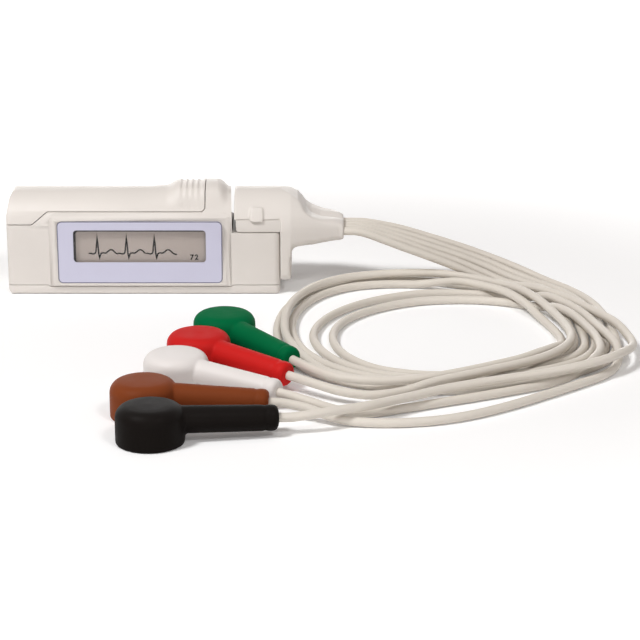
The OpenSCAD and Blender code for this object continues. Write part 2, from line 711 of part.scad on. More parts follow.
// Guide rail under the door: a thin wall with a hook that runs below the housing's rib
module door_rail(s) {
    x1 = x_seam - 0.7;
    inner = s * rail_y;
    outer = s * (rail_y + rail_t);
    hook = s * (rail_y + rail_t + hook_w);
    along_x(x_rail, x1)
        polygon([for (p = [[inner, rail_low_z], [hook, rail_low_z], [hook, rail_low_z + hook_h],
                           [outer, rail_low_z + hook_h], [outer, rail_low_z + 2.7],
                           [inner, rail_low_z + 2.7]])
            [y_mid + p.x, p.y]]);
}

module display_overlay() {
    color("#cdcde1")
        difference() {
            along_y(y_recess - overlay_t, y_recess)
                polygon(box_outline(overlay_x, overlay_z, overlay_w, overlay_h, 1.1));
            along_y(y_recess - 1, y_recess + 1)
                polygon(box_outline(view_x, view_z, view_w, view_h, 0.85));
        }
}

module display_window() {
    color("#dfe3e6", 0.4)
        along_y(y_recess, y_window_back)
            polygon(box_outline(view_x - window_lap, view_z - window_lap,
                                view_w + 2 * window_lap, view_h + 2 * window_lap, 0.75));
}

module display_panel() {
    color("#aaa098")
        translate([panel_x, y_panel, panel_z])
            cube([panel_w, panel_t, panel_h]);
}

// Tray behind the glass with a lip at each end
module display_carrier() {
    low = panel_z - carrier_lip;
    high = panel_z + panel_h + carrier_lip / 3;
    color("#d8d4cc")
        union() {
            translate([panel_x - carrier_lip, y_carrier, low])
                cube([panel_w + 2 * carrier_lip, carrier_t, high - low]);
            for (x = [panel_x - carrier_lip, panel_x + panel_w + seat_gap])
                translate([x, y_panel + seat_gap, low])
                    cube([carrier_lip - seat_gap, panel_t, high - low]);
        }
}

module display_contact_strip() {
    color("#4a4a4c")
        translate([panel_x + strip_inset, y_panel + 4 * seat_gap, board_top])
            cube([panel_w - 2 * strip_inset, panel_t - 6 * seat_gap, panel_z - board_top]);
}

module main_board() {
    color("#1f5a3a")
        difference() {
            along_z(board_z, board_top)
                polygon(box_outline(board_x, board_front, board_l, board_back - board_front, 1));
            for (p = screw_places)
                translate([p.x, p.y, board_z - 1])
                    cylinder(r = board_hole_r, h = board_t + 2);
        }
}

// Flat package with a rim of leads along two sides
module chip(x, y, l, w) {
    translate([x - l / 2, y - w / 2, board_top])
        cube([l, w, chip_h]);
    for (s = [-1, 1])
        for (i = [0:floor(l / 1.2) - 1])
            translate([x - l / 2 + 0.5 + i * 1.2, y + s * (w / 2 + 0.3) - 0.4, board_top])
                cube([0.5, 0.8, 0.4]);
}

module processor_chip() {
    color("#26262a") chip((button_x[0] + button_x[1]) / 2, y_mid, processor_w, processor_w);
}

module memory_chip() {
    color("#26262a") chip(memory_x, y_mid, 5, 4);
}

module ecg_frontend_chip() {
    color("#26262a") chip(frontend_x, y_mid, 6, 6);
}

module battery_can() {
    color("#2f6fb0")
        translate([x_can_left, y_mid, battery_z])
            rotate([0, 90, 0])
                rotate_extrude($fn = 96)
                    polygon(rounded([[0, 0], [battery_r, 0, 0.5], [battery_r, battery_l, 0.8],
                                     [0, battery_l]], 4));
}

module battery_cap() {
    color("silver")
        translate([x_can_right, y_mid, battery_z])
            rotate([0, 90, 0])
                cylinder(d = cap_d, h = cap_l);
}

module battery_contact() {
    color("#d9b65c")
        translate([x_contact, y_mid, battery_z])
            rotate([0, 90, 0])
                cylinder(r = 3.2, h = contact_t);
}

// Conical spring between the bulkhead and the cell
module battery_spring() {
    r = spring_wire_d / 2;
    steps = 14 * spring_turns;
    line = [for (i = [0:steps])
        let (f = i / steps, a = 360 * spring_turns * f, big = 4.2 - 1.5 * f)
        [x_can_left - r - (spring_room - 2 * r) * (1 - f), y_mid + big * cos(a), battery_z + big * sin(a)]];
    color("silver") tube(line, r, 6, [1, 0, 0]);
}

module button(x) {
    translate([x, 0, button_z])
        rotate([-90, 0, 0]) {
            translate([0, 0, y_flange])
                cylinder(r = flange_r, h = flange_t);
            translate([0, 0, y_flange + flange_t / 2])
                rotate_extrude()
                    polygon(rounded([[0, 0], [button_r, 0],
                                     [button_r, y_back + button_proud - y_flange - flange_t / 2, 0.3],
                                     [0, y_back + button_proud - y_flange - flange_t / 2]], 4));
        }
}

module event_button() {
    color("#8fb3d9") button(button_x[0]);
}

module select_button() {
    color("#cfcac4") button(button_x[1]);
}

module push_switch(x) {
    translate([x - 2.2, y_plunger - plunger_l - switch_d, board_top])
        cube([4.4, switch_d, switch_h]);
    translate([x, y_plunger - plunger_l - 0.5, button_z])
        rotate([-90, 0, 0])
            cylinder(r = 0.8, h = plunger_l + 0.5, $fn = 32);
}

module event_switch() {
    color("#3a3a3c") push_switch(button_x[0]);
}

module select_switch() {
    color("#3a3a3c") push_switch(button_x[1]);
}

module case_screw(i) {
    color("silver")
        translate([screw_places[i].x, screw_places[i].y, 0])
            difference() {
                union() {
                    translate([0, 0, head_seat_z - head_t])
                        cylinder(d = screw_head_d, h = head_t);
                    translate([0, 0, head_seat_z - 0.2])
                        cylinder(d = screw_d, h = screw_l - head_seat_z);
                }
                for (a = [0, 90])
                    rotate(a)
                        translate([-0.9, -0.18, -1])
                            cube([1.8, 0.36, 1 + head_seat_z - head_t + 0.5]);
            }
}

module port_header() {
    color("#2b2b2d")
        along_z(board_top, header_top)
            polygon(box_outline(port_x + plug_gap, y_mid - port_w / 2 + plug_gap,
                                port_l - 2 * plug_gap, port_w - 2 * plug_gap, 0.4));
}

module port_pins() {
    color("#d9b65c")
        for (p = pin_places)
            translate([p.x, p.y, header_top])
                rotate_extrude($fn = 24)
                    polygon([[0, 0], [pin_d / 2, 0], [pin_d / 2, pin_l - 0.2], [pin_d / 2 - 0.15, pin_l],
                             [0, pin_l]]);
}

module plug_contacts() {
    color("#d9b65c")
        for (p = pin_places)
            translate([p.x, p.y, tongue_z + 0.1])
                difference() {
                    cylinder(r = contact_r - 0.02, h = pin_l + 0.6, $fn = 24);
                    translate([0, 0, -1])
                        cylinder(r = contact_bore_r, h = pin_l + 1.3, $fn = 24);
                }
}

// Lower half of the plug: it sits over the shelf and its tongue enters the opening
module plug_shroud() {
    color("#ddd7d1")
        difference() {
            union() {
                intersection() {
                    along_x(x_shroud, x_leg) polygon(section(shroud_inset));
                    along_y(-far, far)
                        polygon(rounded([[x_shroud, shroud_z, 0.9], [x_leg, shroud_z],
                                         [x_leg, hood_z], [x_shroud, hood_z]]));
                    along_z(-1, far)
                        polygon(box_outline(x_shroud, y_front, far, body_d, 1));
                }
                along_z(tongue_z, shroud_z + 0.5)
                    polygon(box_outline(port_x + slide_gap, y_mid - port_w / 2 + slide_gap,
                                        port_l - 2 * slide_gap, port_w - 2 * slide_gap, 0.4));
            }
            for (p = pin_places)
                translate([p.x, p.y, tongue_z - 1])
                    cylinder(r = contact_r, h = 1 + 0.1 + pin_l + 0.7, $fn = 24);
        }
}

// Upper half of the plug: half-round hood, leg down the recorder's end, and two latch pads
module plug_hood() {
    w = crown_r;
    z_relief = leg_z + relief_rise;
    color("#e1dbd5")
        union() {
            intersection() {
                along_x(x_hood, x_hood_end) polygon(section(0));
                along_y(-far, far)
                    polygon(rounded([[x_hood, hood_z], [x_leg, hood_z], [x_leg, z_relief],
                                     [x_hood_end, z_relief], [x_hood_end, crown_z - hood_drop],
                                     [x_leg, crown_z, 2], [x_hood, crown_z, 0.65]]));
                along_z(-1, far)
                    polygon(rounded([[x_hood, y_mid - w, 0.5], [x_hood_end, y_mid - w],
                                     [x_hood_end, y_mid + w], [x_hood, y_mid + w, 0.5]]));
            }
            intersection() {
                along_x(x_leg, x_hood_end)
                    polygon(rounded([[y_mid - w, leg_z, 2 * leg_round], [y_mid + w, leg_z, 2 * leg_round],
                                     [y_mid + w, z_relief + 0.2], [y_mid - w, z_relief + 0.2]]));
                along_y(-far, far)
                    polygon(rounded([[x_leg, leg_z, 0.8 * leg_round], [x_hood_end, leg_z, leg_round],
                                     [x_hood_end, far], [x_leg, far]]));
                along_z(-1, far)
                    polygon(rounded([[x_leg, y_mid - w], [x_hood_end, y_mid - w, 0.6 * leg_round],
                                     [x_hood_end, y_mid + w, 0.6 * leg_round], [x_leg, y_mid + w]]));
            }
            difference() {
                intersection() {
                    along_x(x_hood, x_hood_end) polygon(section(-latch_t));
                    along_y(-far, far) latch_outline();
                }
                along_x(x_hood - 1, x_hood_end + 1) polygon(section(shroud_inset - 0.1));
            }
        }
}

// Front view of a latch pad: narrower towards its top
module latch_outline() {
    x = x_hood + 3.7;
    low = hood_z - latch_lap;
    top = hood_z + latch_h;
    polygon(rounded([[x, low, 0.4], [x + 3.2, low, 0.4], [x + 3, top, 0.5], [x + 0.2, top, 0.5]]));
}

// Outline of the strain relief at one station: it goes from the hood's half-round section (k = 0)
// to a rounded slab (k = 1), and its top is scooped off with a valley along the middle
function relief_ring(x, low, top, half_w, k, valley) =
    let (n = 44,
         mid = crown_mid_z + (exit_z - crown_mid_z) * k,
         rise = half_w + (top - mid - half_w) * k,
         power = 1 - 0.5 * k)
    [for (i = [0:n - 1])
        let (a = 360 * i / n,
             c = cos(a),
             s = sin(a),
             y = half_w * sign(c) * pow(abs(c), s > 0 ? power : 0.3 + 0.2 * k),
             z = s > 0 ? min(top - mid, rise * pow(s, power))
                       : (low - mid) * pow(-s, 0.3 + 0.2 * k),
             dip = s > 0 && abs(y) < valley_w / 2 ? valley * (1 + cos(360 * y / valley_w)) / 2 : 0)
        [x, y_mid + y, mid + z - dip]];

// Stations of the strain relief: place along its length, underside, top, half width, and the
// shares of the slab form and of the valley
relief_end_low = exit_z - relief_h / 2;
relief_end_top = exit_z + relief_h / 2;
relief_end_w = relief_w / 2;
relief_taper = (crown_r - relief_end_w) / (relief_l - 1);
relief_stations = [
    [0, leg_z + relief_rise, crown_z - hood_drop, 0, 0],
    [0.3, leg_z + relief_rise + 1, crown_z - hood_drop - 0.15, 0, 0],
    [0.8, leg_z + relief_rise + 1.6, crown_z - hood_drop - 0.45, 0, 0],
    [1.6, leg_z + relief_rise + 1.8, crown_z - 1.8, 0, 0],
    [2.5, leg_z + relief_rise + 1.9, crown_z - 3, 0, 0.1],
    [3.5, leg_z + relief_rise + 2, crown_z - 4.6, 0.1, 0.3],
    [4.8, relief_end_low - 0.8, relief_end_top + 1.75, 0.3, 0.7],
    [6.9, relief_end_low - 0.55, relief_end_top + 1, 0.6, 1],
    [9.2, relief_end_low - 0.3, relief_end_top + 0.75, 0.85, 1],
    [relief_l - 1.1, relief_end_low - 0.1, relief_end_top + 0.5, 1, 1],
    [relief_l - 0.3, relief_end_low, relief_end_top, 1, 0.4],
    [relief_l, relief_end_low + 0.3, relief_end_top - 0.4, 1, 0]];

module strain_relief() {
    rings = [for (s = relief_stations)
        let (w = min(crown_r, max(crown_r - relief_taper * s[0], relief_end_w)) - (s[0] == relief_l ? 0.2 : 0))
        relief_ring(x_hood_end + s[0], s[1], s[2], w, s[3], s[4] * valley_t)];
    color("#dcd6cf") skin(rings);
}

// Closed surface over rings that all have the same number of points
module skin(rings) {
    n = len(rings[0]);
    m = len(rings);
    points = [for (r = rings) each r];
    sides = [for (k = [0:m - 2]) for (i = [0:n - 1])
        let (a = k * n + i, b = k * n + (i + 1) % n)
        each [[a, b + n, b], [a, a + n, b + n]]];
    caps = [for (i = [1:n - 2]) each [[0, i, i + 1], [(m - 1) * n, (m - 1) * n + i + 1, (m - 1) * n + i]]];
    polyhedron(points, concat(sides, caps), convexity = 10);
}

// Tube of radius r along a line of points, with its rings square to the line
module tube(line, r, sides, up = [0, 0, 1]) {
    last = len(line) - 1;
    rings = [for (k = [0:last])
        let (t = unit(line[min(k + 1, last)] - line[max(k - 1, 0)]),
             across = unit(cross(up, t)),
             over = cross(t, across))
        [for (i = [0:sides - 1])
            let (a = 360 * i / sides)
            line[k] + r * (cos(a) * across + sin(a) * over)]];
    skin(rings);
}

// Smooth curve through the points q[1] to q[len - 2], at segment i and share f
function smooth(q, i, f) =
    0.5 * (2 * q[i + 1] + (q[i + 2] - q[i]) * f
           + (2 * q[i] - 5 * q[i + 1] + 4 * q[i + 2] - q[i + 3]) * f * f
           + (3 * q[i + 1] - q[i] - 3 * q[i + 2] + q[i + 3]) * f * f * f);

// Evenly spread points on the smooth curve between two straight ends, never lower than a lead
// that lies on the ground
function centre_line(p, n) =
    let (m = len(p) - 1)
    [for (k = [0:n - 1])
        let (t = k == 0 ? 0 : k == n - 1 ? m : 1 + (m - 2) * (k - 1) / (n - 3),
             i = max(1, min(floor(t), m - 2)),
             c = k == 0 || k == n - 1 ? p[t] : smooth(p, i - 1, t - i))
        [c.x, c.y, max(c.z, lead_d / 2)]];

stem_tilt = asin(stem_drop / stem_l);
function stem_dir(i) =
    let (a = lead_places[i][3])
    [cos(a) * cos(stem_tilt), sin(a) * cos(stem_tilt), -sin(stem_tilt)];
function stem_tip(i) = [lead_places[i][2].x, lead_places[i][2].y, stem_z] + stem_l * stem_dir(i);

// Whole route of a lead: straight out of the strain relief, its own points, straight into the stem
function lead_route(i) =
    let (start = [x_exit, y_mid + lead_places[i][1] * lead_pitch, exit_z], tip = stem_tip(i))
    concat([start, start + [lead_straight, 0, 0]], routes[i], [tip + lead_straight * stem_dir(i), tip]);

// Distance from the point p to the stretch between a and b
function to_stretch(p, a, b) =
    let (d = b - a, f = max(0, min(1, (p - a) * d / (d * d)))) norm(p - a - f * d);

// Least gap between stretches of one lead that are not neighbours
function self_gap(line, skip) =
    min([for (k = [0:len(line) - skip - 2]) for (j = [k + skip:len(line) - 2])
        to_stretch(line[k], line[j], line[j + 1])]) - lead_d;

module lead(i) {
    route = lead_route(i);
    fine = centre_line(route, 3 * lead_rings);
    echo(str("least gap of the ", lead_places[i][0], " lead to itself: ", self_gap(fine, 24)));
    color("#ded8ce") tube(centre_line(route, lead_rings), lead_d / 2, lead_sides);
}

module at_snap(i) {
    translate(concat(lead_places[i][2], [0]))
        rotate(lead_places[i][3])
            children();
}

// Snap moulding: round head over the socket, and a tapered stem with a groove near its end
module snap(i) {
    r0 = stem_d / 2;
    r1 = stem_end_d / 2;
    r = snap_d / 2;
    g = stem_l - 2.6;
    color(lead_places[i][4])
        at_snap(i)
            difference() {
                union() {
                    rotate_extrude($fn = 96)
                        polygon(rounded([[0, 0], [r, 0, 0.4], [r, snap_h - snap_dome, snap_round],
                                         [r / 2, snap_h - snap_dome / 4, 8], [0, snap_h]]));
                    translate([0, 0, stem_z])
                        rotate([0, 90 + stem_tilt, 0])
                            rotate_extrude($fn = 48)
                                polygon(rounded([[0, 3], [r0, 3], [r0, r], [r1, g - 0.5], [r1 - 0.15, g - 0.2],
                                                 [r1 - 0.15, g + 0.2], [r1, g + 0.5],
                                                 [r1, stem_l, 1.1], [0, stem_l]], 5));
                }
                translate([0, 0, -1])
                    cylinder(d = socket_d + 2 * seat_gap, h = 1 + 1.1, $fn = 72);
                cylinder(d = socket_cup_d + 2 * seat_gap, h = 0.3 + socket_h, $fn = 72);
            }
}

// Metal socket that clips over an electrode's stud
module socket(i) {
    color("silver")
        at_snap(i)
            translate([0, 0, 0.3])
                difference() {
                    union() {
                        cylinder(d = socket_d, h = 0.7, $fn = 72);
                        cylinder(d = socket_cup_d, h = socket_h, $fn = 72);
                    }
                    translate([0, 0, -1])
                        cylinder(d = socket_bore_d, h = 1 + socket_depth, $fn = 72);
                }
}

main_housing();
bottom_cover();
battery_door();
display_overlay();
display_window();
display_panel();
display_carrier();
display_contact_strip();
main_board();
processor_chip();
memory_chip();
ecg_frontend_chip();
battery_can();
battery_cap();
battery_spring();
battery_contact();
event_button();
select_button();
event_switch();
select_switch();
case_screw(0);  // case_screw_1
case_screw(1);  // case_screw_2
case_screw(2);  // case_screw_3
case_screw(3);  // case_screw_4
port_header();
port_pins();
plug_hood();
plug_shroud();
plug_contacts();
strain_relief();
lead(0);  // lead_white
lead(1);  // lead_brown
lead(2);  // lead_green
lead(3);  // lead_red
lead(4);  // lead_black
snap(0);  // snap_white
snap(1);  // snap_brown
snap(2);  // snap_green
snap(3);  // snap_red
snap(4);  // snap_black
socket(0);  // socket_white
socket(1);  // socket_brown
socket(2);  // socket_green
socket(3);  // socket_red
socket(4);  // socket_black
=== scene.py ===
import json
import math

import bpy
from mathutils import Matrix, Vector

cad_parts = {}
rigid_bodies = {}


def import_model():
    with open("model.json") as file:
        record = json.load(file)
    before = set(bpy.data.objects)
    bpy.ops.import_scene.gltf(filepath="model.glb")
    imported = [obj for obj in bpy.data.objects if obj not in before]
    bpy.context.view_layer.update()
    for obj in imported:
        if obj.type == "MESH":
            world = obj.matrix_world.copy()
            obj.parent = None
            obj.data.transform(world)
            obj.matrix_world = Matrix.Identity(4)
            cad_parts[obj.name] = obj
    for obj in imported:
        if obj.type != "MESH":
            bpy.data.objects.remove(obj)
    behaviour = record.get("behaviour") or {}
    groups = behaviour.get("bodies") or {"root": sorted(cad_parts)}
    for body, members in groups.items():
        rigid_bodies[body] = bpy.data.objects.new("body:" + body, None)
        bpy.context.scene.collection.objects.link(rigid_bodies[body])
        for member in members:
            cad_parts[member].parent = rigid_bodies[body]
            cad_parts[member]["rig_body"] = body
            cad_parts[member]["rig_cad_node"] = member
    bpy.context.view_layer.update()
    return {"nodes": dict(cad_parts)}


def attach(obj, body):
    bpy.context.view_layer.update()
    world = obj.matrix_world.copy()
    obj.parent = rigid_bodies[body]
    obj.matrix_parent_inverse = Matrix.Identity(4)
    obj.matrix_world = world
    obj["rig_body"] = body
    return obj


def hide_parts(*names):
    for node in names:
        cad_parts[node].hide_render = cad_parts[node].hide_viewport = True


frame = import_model()
node = frame["nodes"]

MM = 0.001
COLOURS = ["white", "brown", "green", "red", "black"]


# ---------------------------------------------------------------- camera, floor and light

# The camera's place in metres, its tilt down in degrees, its lens and sensor in millimetres
CAMERA_PLACE = (0.0414, -0.5139, 0.1539)
CAMERA_TILT = 17.6
CAMERA_LENS = 126
CAMERA_SENSOR = 36

# Each lamp's width, height, place and target in metres, and its power in watts
SOFTBOXES = {
    "right_key": (0.2, 0.2, (0.40, -0.62, 0.75), (0.03, -0.03, 0), 2.0),
    "left_key": (0.2, 0.2, (-0.45, -0.40, 0.85), (0.03, 0, 0.01), 6.9),
    "overhead_softbox": (0.5, 0.4, (0.05, 0.10, 0.9), (0.04, -0.04, 0), 0.5),
    "front_softbox": (1.1, 0.4, (0.1, -1.2, 0.2), (0.03, 0, 0.01), 2.5),
    "rear_softbox": (1.1, 0.3, (-0.15, 1.2, 0.2), (0.03, 0, 0.01), 3.6)}

AMBIENT_COLOUR = (1.0, 0.84, 0.75, 1)
AMBIENT_STRENGTH = 0.14
WHITE = (1, 1, 1, 1)

TABLE_COLOUR = (0.97, 0.975, 0.98, 1)
TABLE_SIZE = 6
# The camera sees the floor a little lighter than it is lit: by this much from here, and white far off
FLOOR_CENTRE = (0.04, -0.04, 0)
FLOOR_LIFT = {"From Min": 0.08, "From Max": 0.28, "To Min": 0.1, "To Max": 1.0}


def aim(obj, place, target):
    """Puts a lamp at a place and points it at a target, in metres."""
    obj.location = place
    obj.rotation_euler = (Vector(target) - Vector(place)).to_track_quat("-Z", "Y").to_euler()


def studio_camera():
    """The camera that shows the object as the photograph does."""
    data = bpy.data.cameras.new("studio_camera")
    data.lens = CAMERA_LENS
    data.sensor_width = CAMERA_SENSOR
    data.clip_start = 0.01
    cam = bpy.data.objects.new("studio_camera", data)
    bpy.context.scene.collection.objects.link(cam)
    cam.location = CAMERA_PLACE
    cam.rotation_euler = (math.radians(90 - CAMERA_TILT), 0, 0)
    bpy.context.scene.camera = cam


def softbox(name, width, height, place, target, watts):
    """A white lamp with a rectangular face."""
    data = bpy.data.lights.new(name, "AREA")
    data.shape = "RECTANGLE"
    data.size = width
    data.size_y = height
    data.energy = watts
    lamp = bpy.data.objects.new(name, data)
    bpy.context.scene.collection.objects.link(lamp)
    aim(lamp, place, target)


def seen_directly(tree):
    """1 for what the camera sees, also in a mirror or through glass, and 0 for light on the object."""
    path = tree.nodes.new("ShaderNodeLightPath")
    value = path.outputs["Is Camera Ray"]
    for ray in ("Is Glossy Ray", "Is Transmission Ray"):
        either = tree.nodes.new("ShaderNodeMath")
        either.operation = "MAXIMUM"
        tree.links.new(value, either.inputs[0])
        tree.links.new(path.outputs[ray], either.inputs[1])
        value = either.outputs[0]
    return value


def studio_world():
    """A dim warm surround for the object, and plain white for the camera."""
    world = bpy.data.worlds.new("studio_world")
    bpy.context.scene.world = world
    world.use_nodes = True
    tree = world.node_tree
    tree.nodes.clear()
    out = tree.nodes.new("ShaderNodeOutputWorld")
    ambient = tree.nodes.new("ShaderNodeBackground")
    ambient.inputs["Color"].default_value = AMBIENT_COLOUR
    ambient.inputs["Strength"].default_value = AMBIENT_STRENGTH
    seen = tree.nodes.new("ShaderNodeBackground")
    seen.inputs["Color"].default_value = WHITE
    seen.inputs["Strength"].default_value = 1.0
    mix = tree.nodes.new("ShaderNodeMixShader")
    tree.links.new(seen_directly(tree), mix.inputs["Fac"])
    tree.links.new(ambient.outputs[0], mix.inputs[1])
    tree.links.new(seen.outputs[0], mix.inputs[2])
    tree.links.new(mix.outputs[0], out.inputs["Surface"])


def studio_floor():
    """A pale table top that keeps the object's shadow and fades to white far off."""
    bpy.ops.mesh.primitive_plane_add(size=TABLE_SIZE, location=(0, 0, 0))
    floor = bpy.context.object
    floor.name = "studio_floor"
    mat = bpy.data.materials.new("white_table")
    mat.use_nodes = True
    tree = mat.node_tree
    tree.nodes.clear()
    out = tree.nodes.new("ShaderNodeOutputMaterial")
    paint = tree.nodes.new("ShaderNodeBsdfDiffuse")
    paint.inputs["Color"].default_value = TABLE_COLOUR
    glow = tree.nodes.new("ShaderNodeEmission")
    glow.inputs["Color"].default_value = WHITE
    coord = tree.nodes.new("ShaderNodeTexCoord")
    away = tree.nodes.new("ShaderNodeVectorMath")
    away.operation = "DISTANCE"
    away.inputs[1].default_value = FLOOR_CENTRE
    far = tree.nodes.new("ShaderNodeMapRange")
    far.interpolation_type = "SMOOTHSTEP"
    for socket, value in FLOOR_LIFT.items():
        far.inputs[socket].default_value = value
    lift = tree.nodes.new("ShaderNodeMath")
    lift.operation = "MULTIPLY"
    both = tree.nodes.new("ShaderNodeAddShader")
    tree.links.new(coord.outputs["Object"], away.inputs[0])
    tree.links.new(away.outputs["Value"], far.inputs["Value"])
    tree.links.new(far.outputs["Result"], lift.inputs[1])
    tree.links.new(seen_directly(tree), lift.inputs[0])
    tree.links.new(lift.outputs[0], glow.inputs["Strength"])
    tree.links.new(paint.outputs[0], both.inputs[0])
    tree.links.new(glow.outputs[0], both.inputs[1])
    tree.links.new(both.outputs[0], out.inputs["Surface"])
    floor.data.materials.append(mat)


bpy.context.scene.view_settings.view_transform = "Standard"
studio_camera()
studio_world()
for lamp_name, lamp_facts in SOFTBOXES.items():
    softbox(lamp_name, *lamp_facts)


# ---------------------------------------------------------------- the five leads

# Millimetres: the lead's diameter, the pitch of the fan and the middle of the strain relief's end
LEAD_D = 1.9
LEAD_PITCH = 2.2
EXIT = (47.0, 0.15, 14.2)
# A lead runs straight for this far where it leaves the relief and where it enters a snap
STRAIGHT = 2.5
# Steps of the smooth line between two points of a route
ROUTE_STEPS = 8
# The snap's stem: from the head's middle to its tip, how far the tip lies lower, and its height
STEM_L = 25.1
STEM_DROP = 1.0
STEM_Z = 4.55
# Each head's middle on the table, and the turn of its stem from +X in degrees
SNAP_AT = {
    "white": ((11.6, -75), -31.5), "brown": ((6.2, -92.3), -3.8), "green": ((20.5, -47.4), -53),
    "red": ((15.6, -61.5), -39.8), "black": ((8.5, -107), 9.5)}

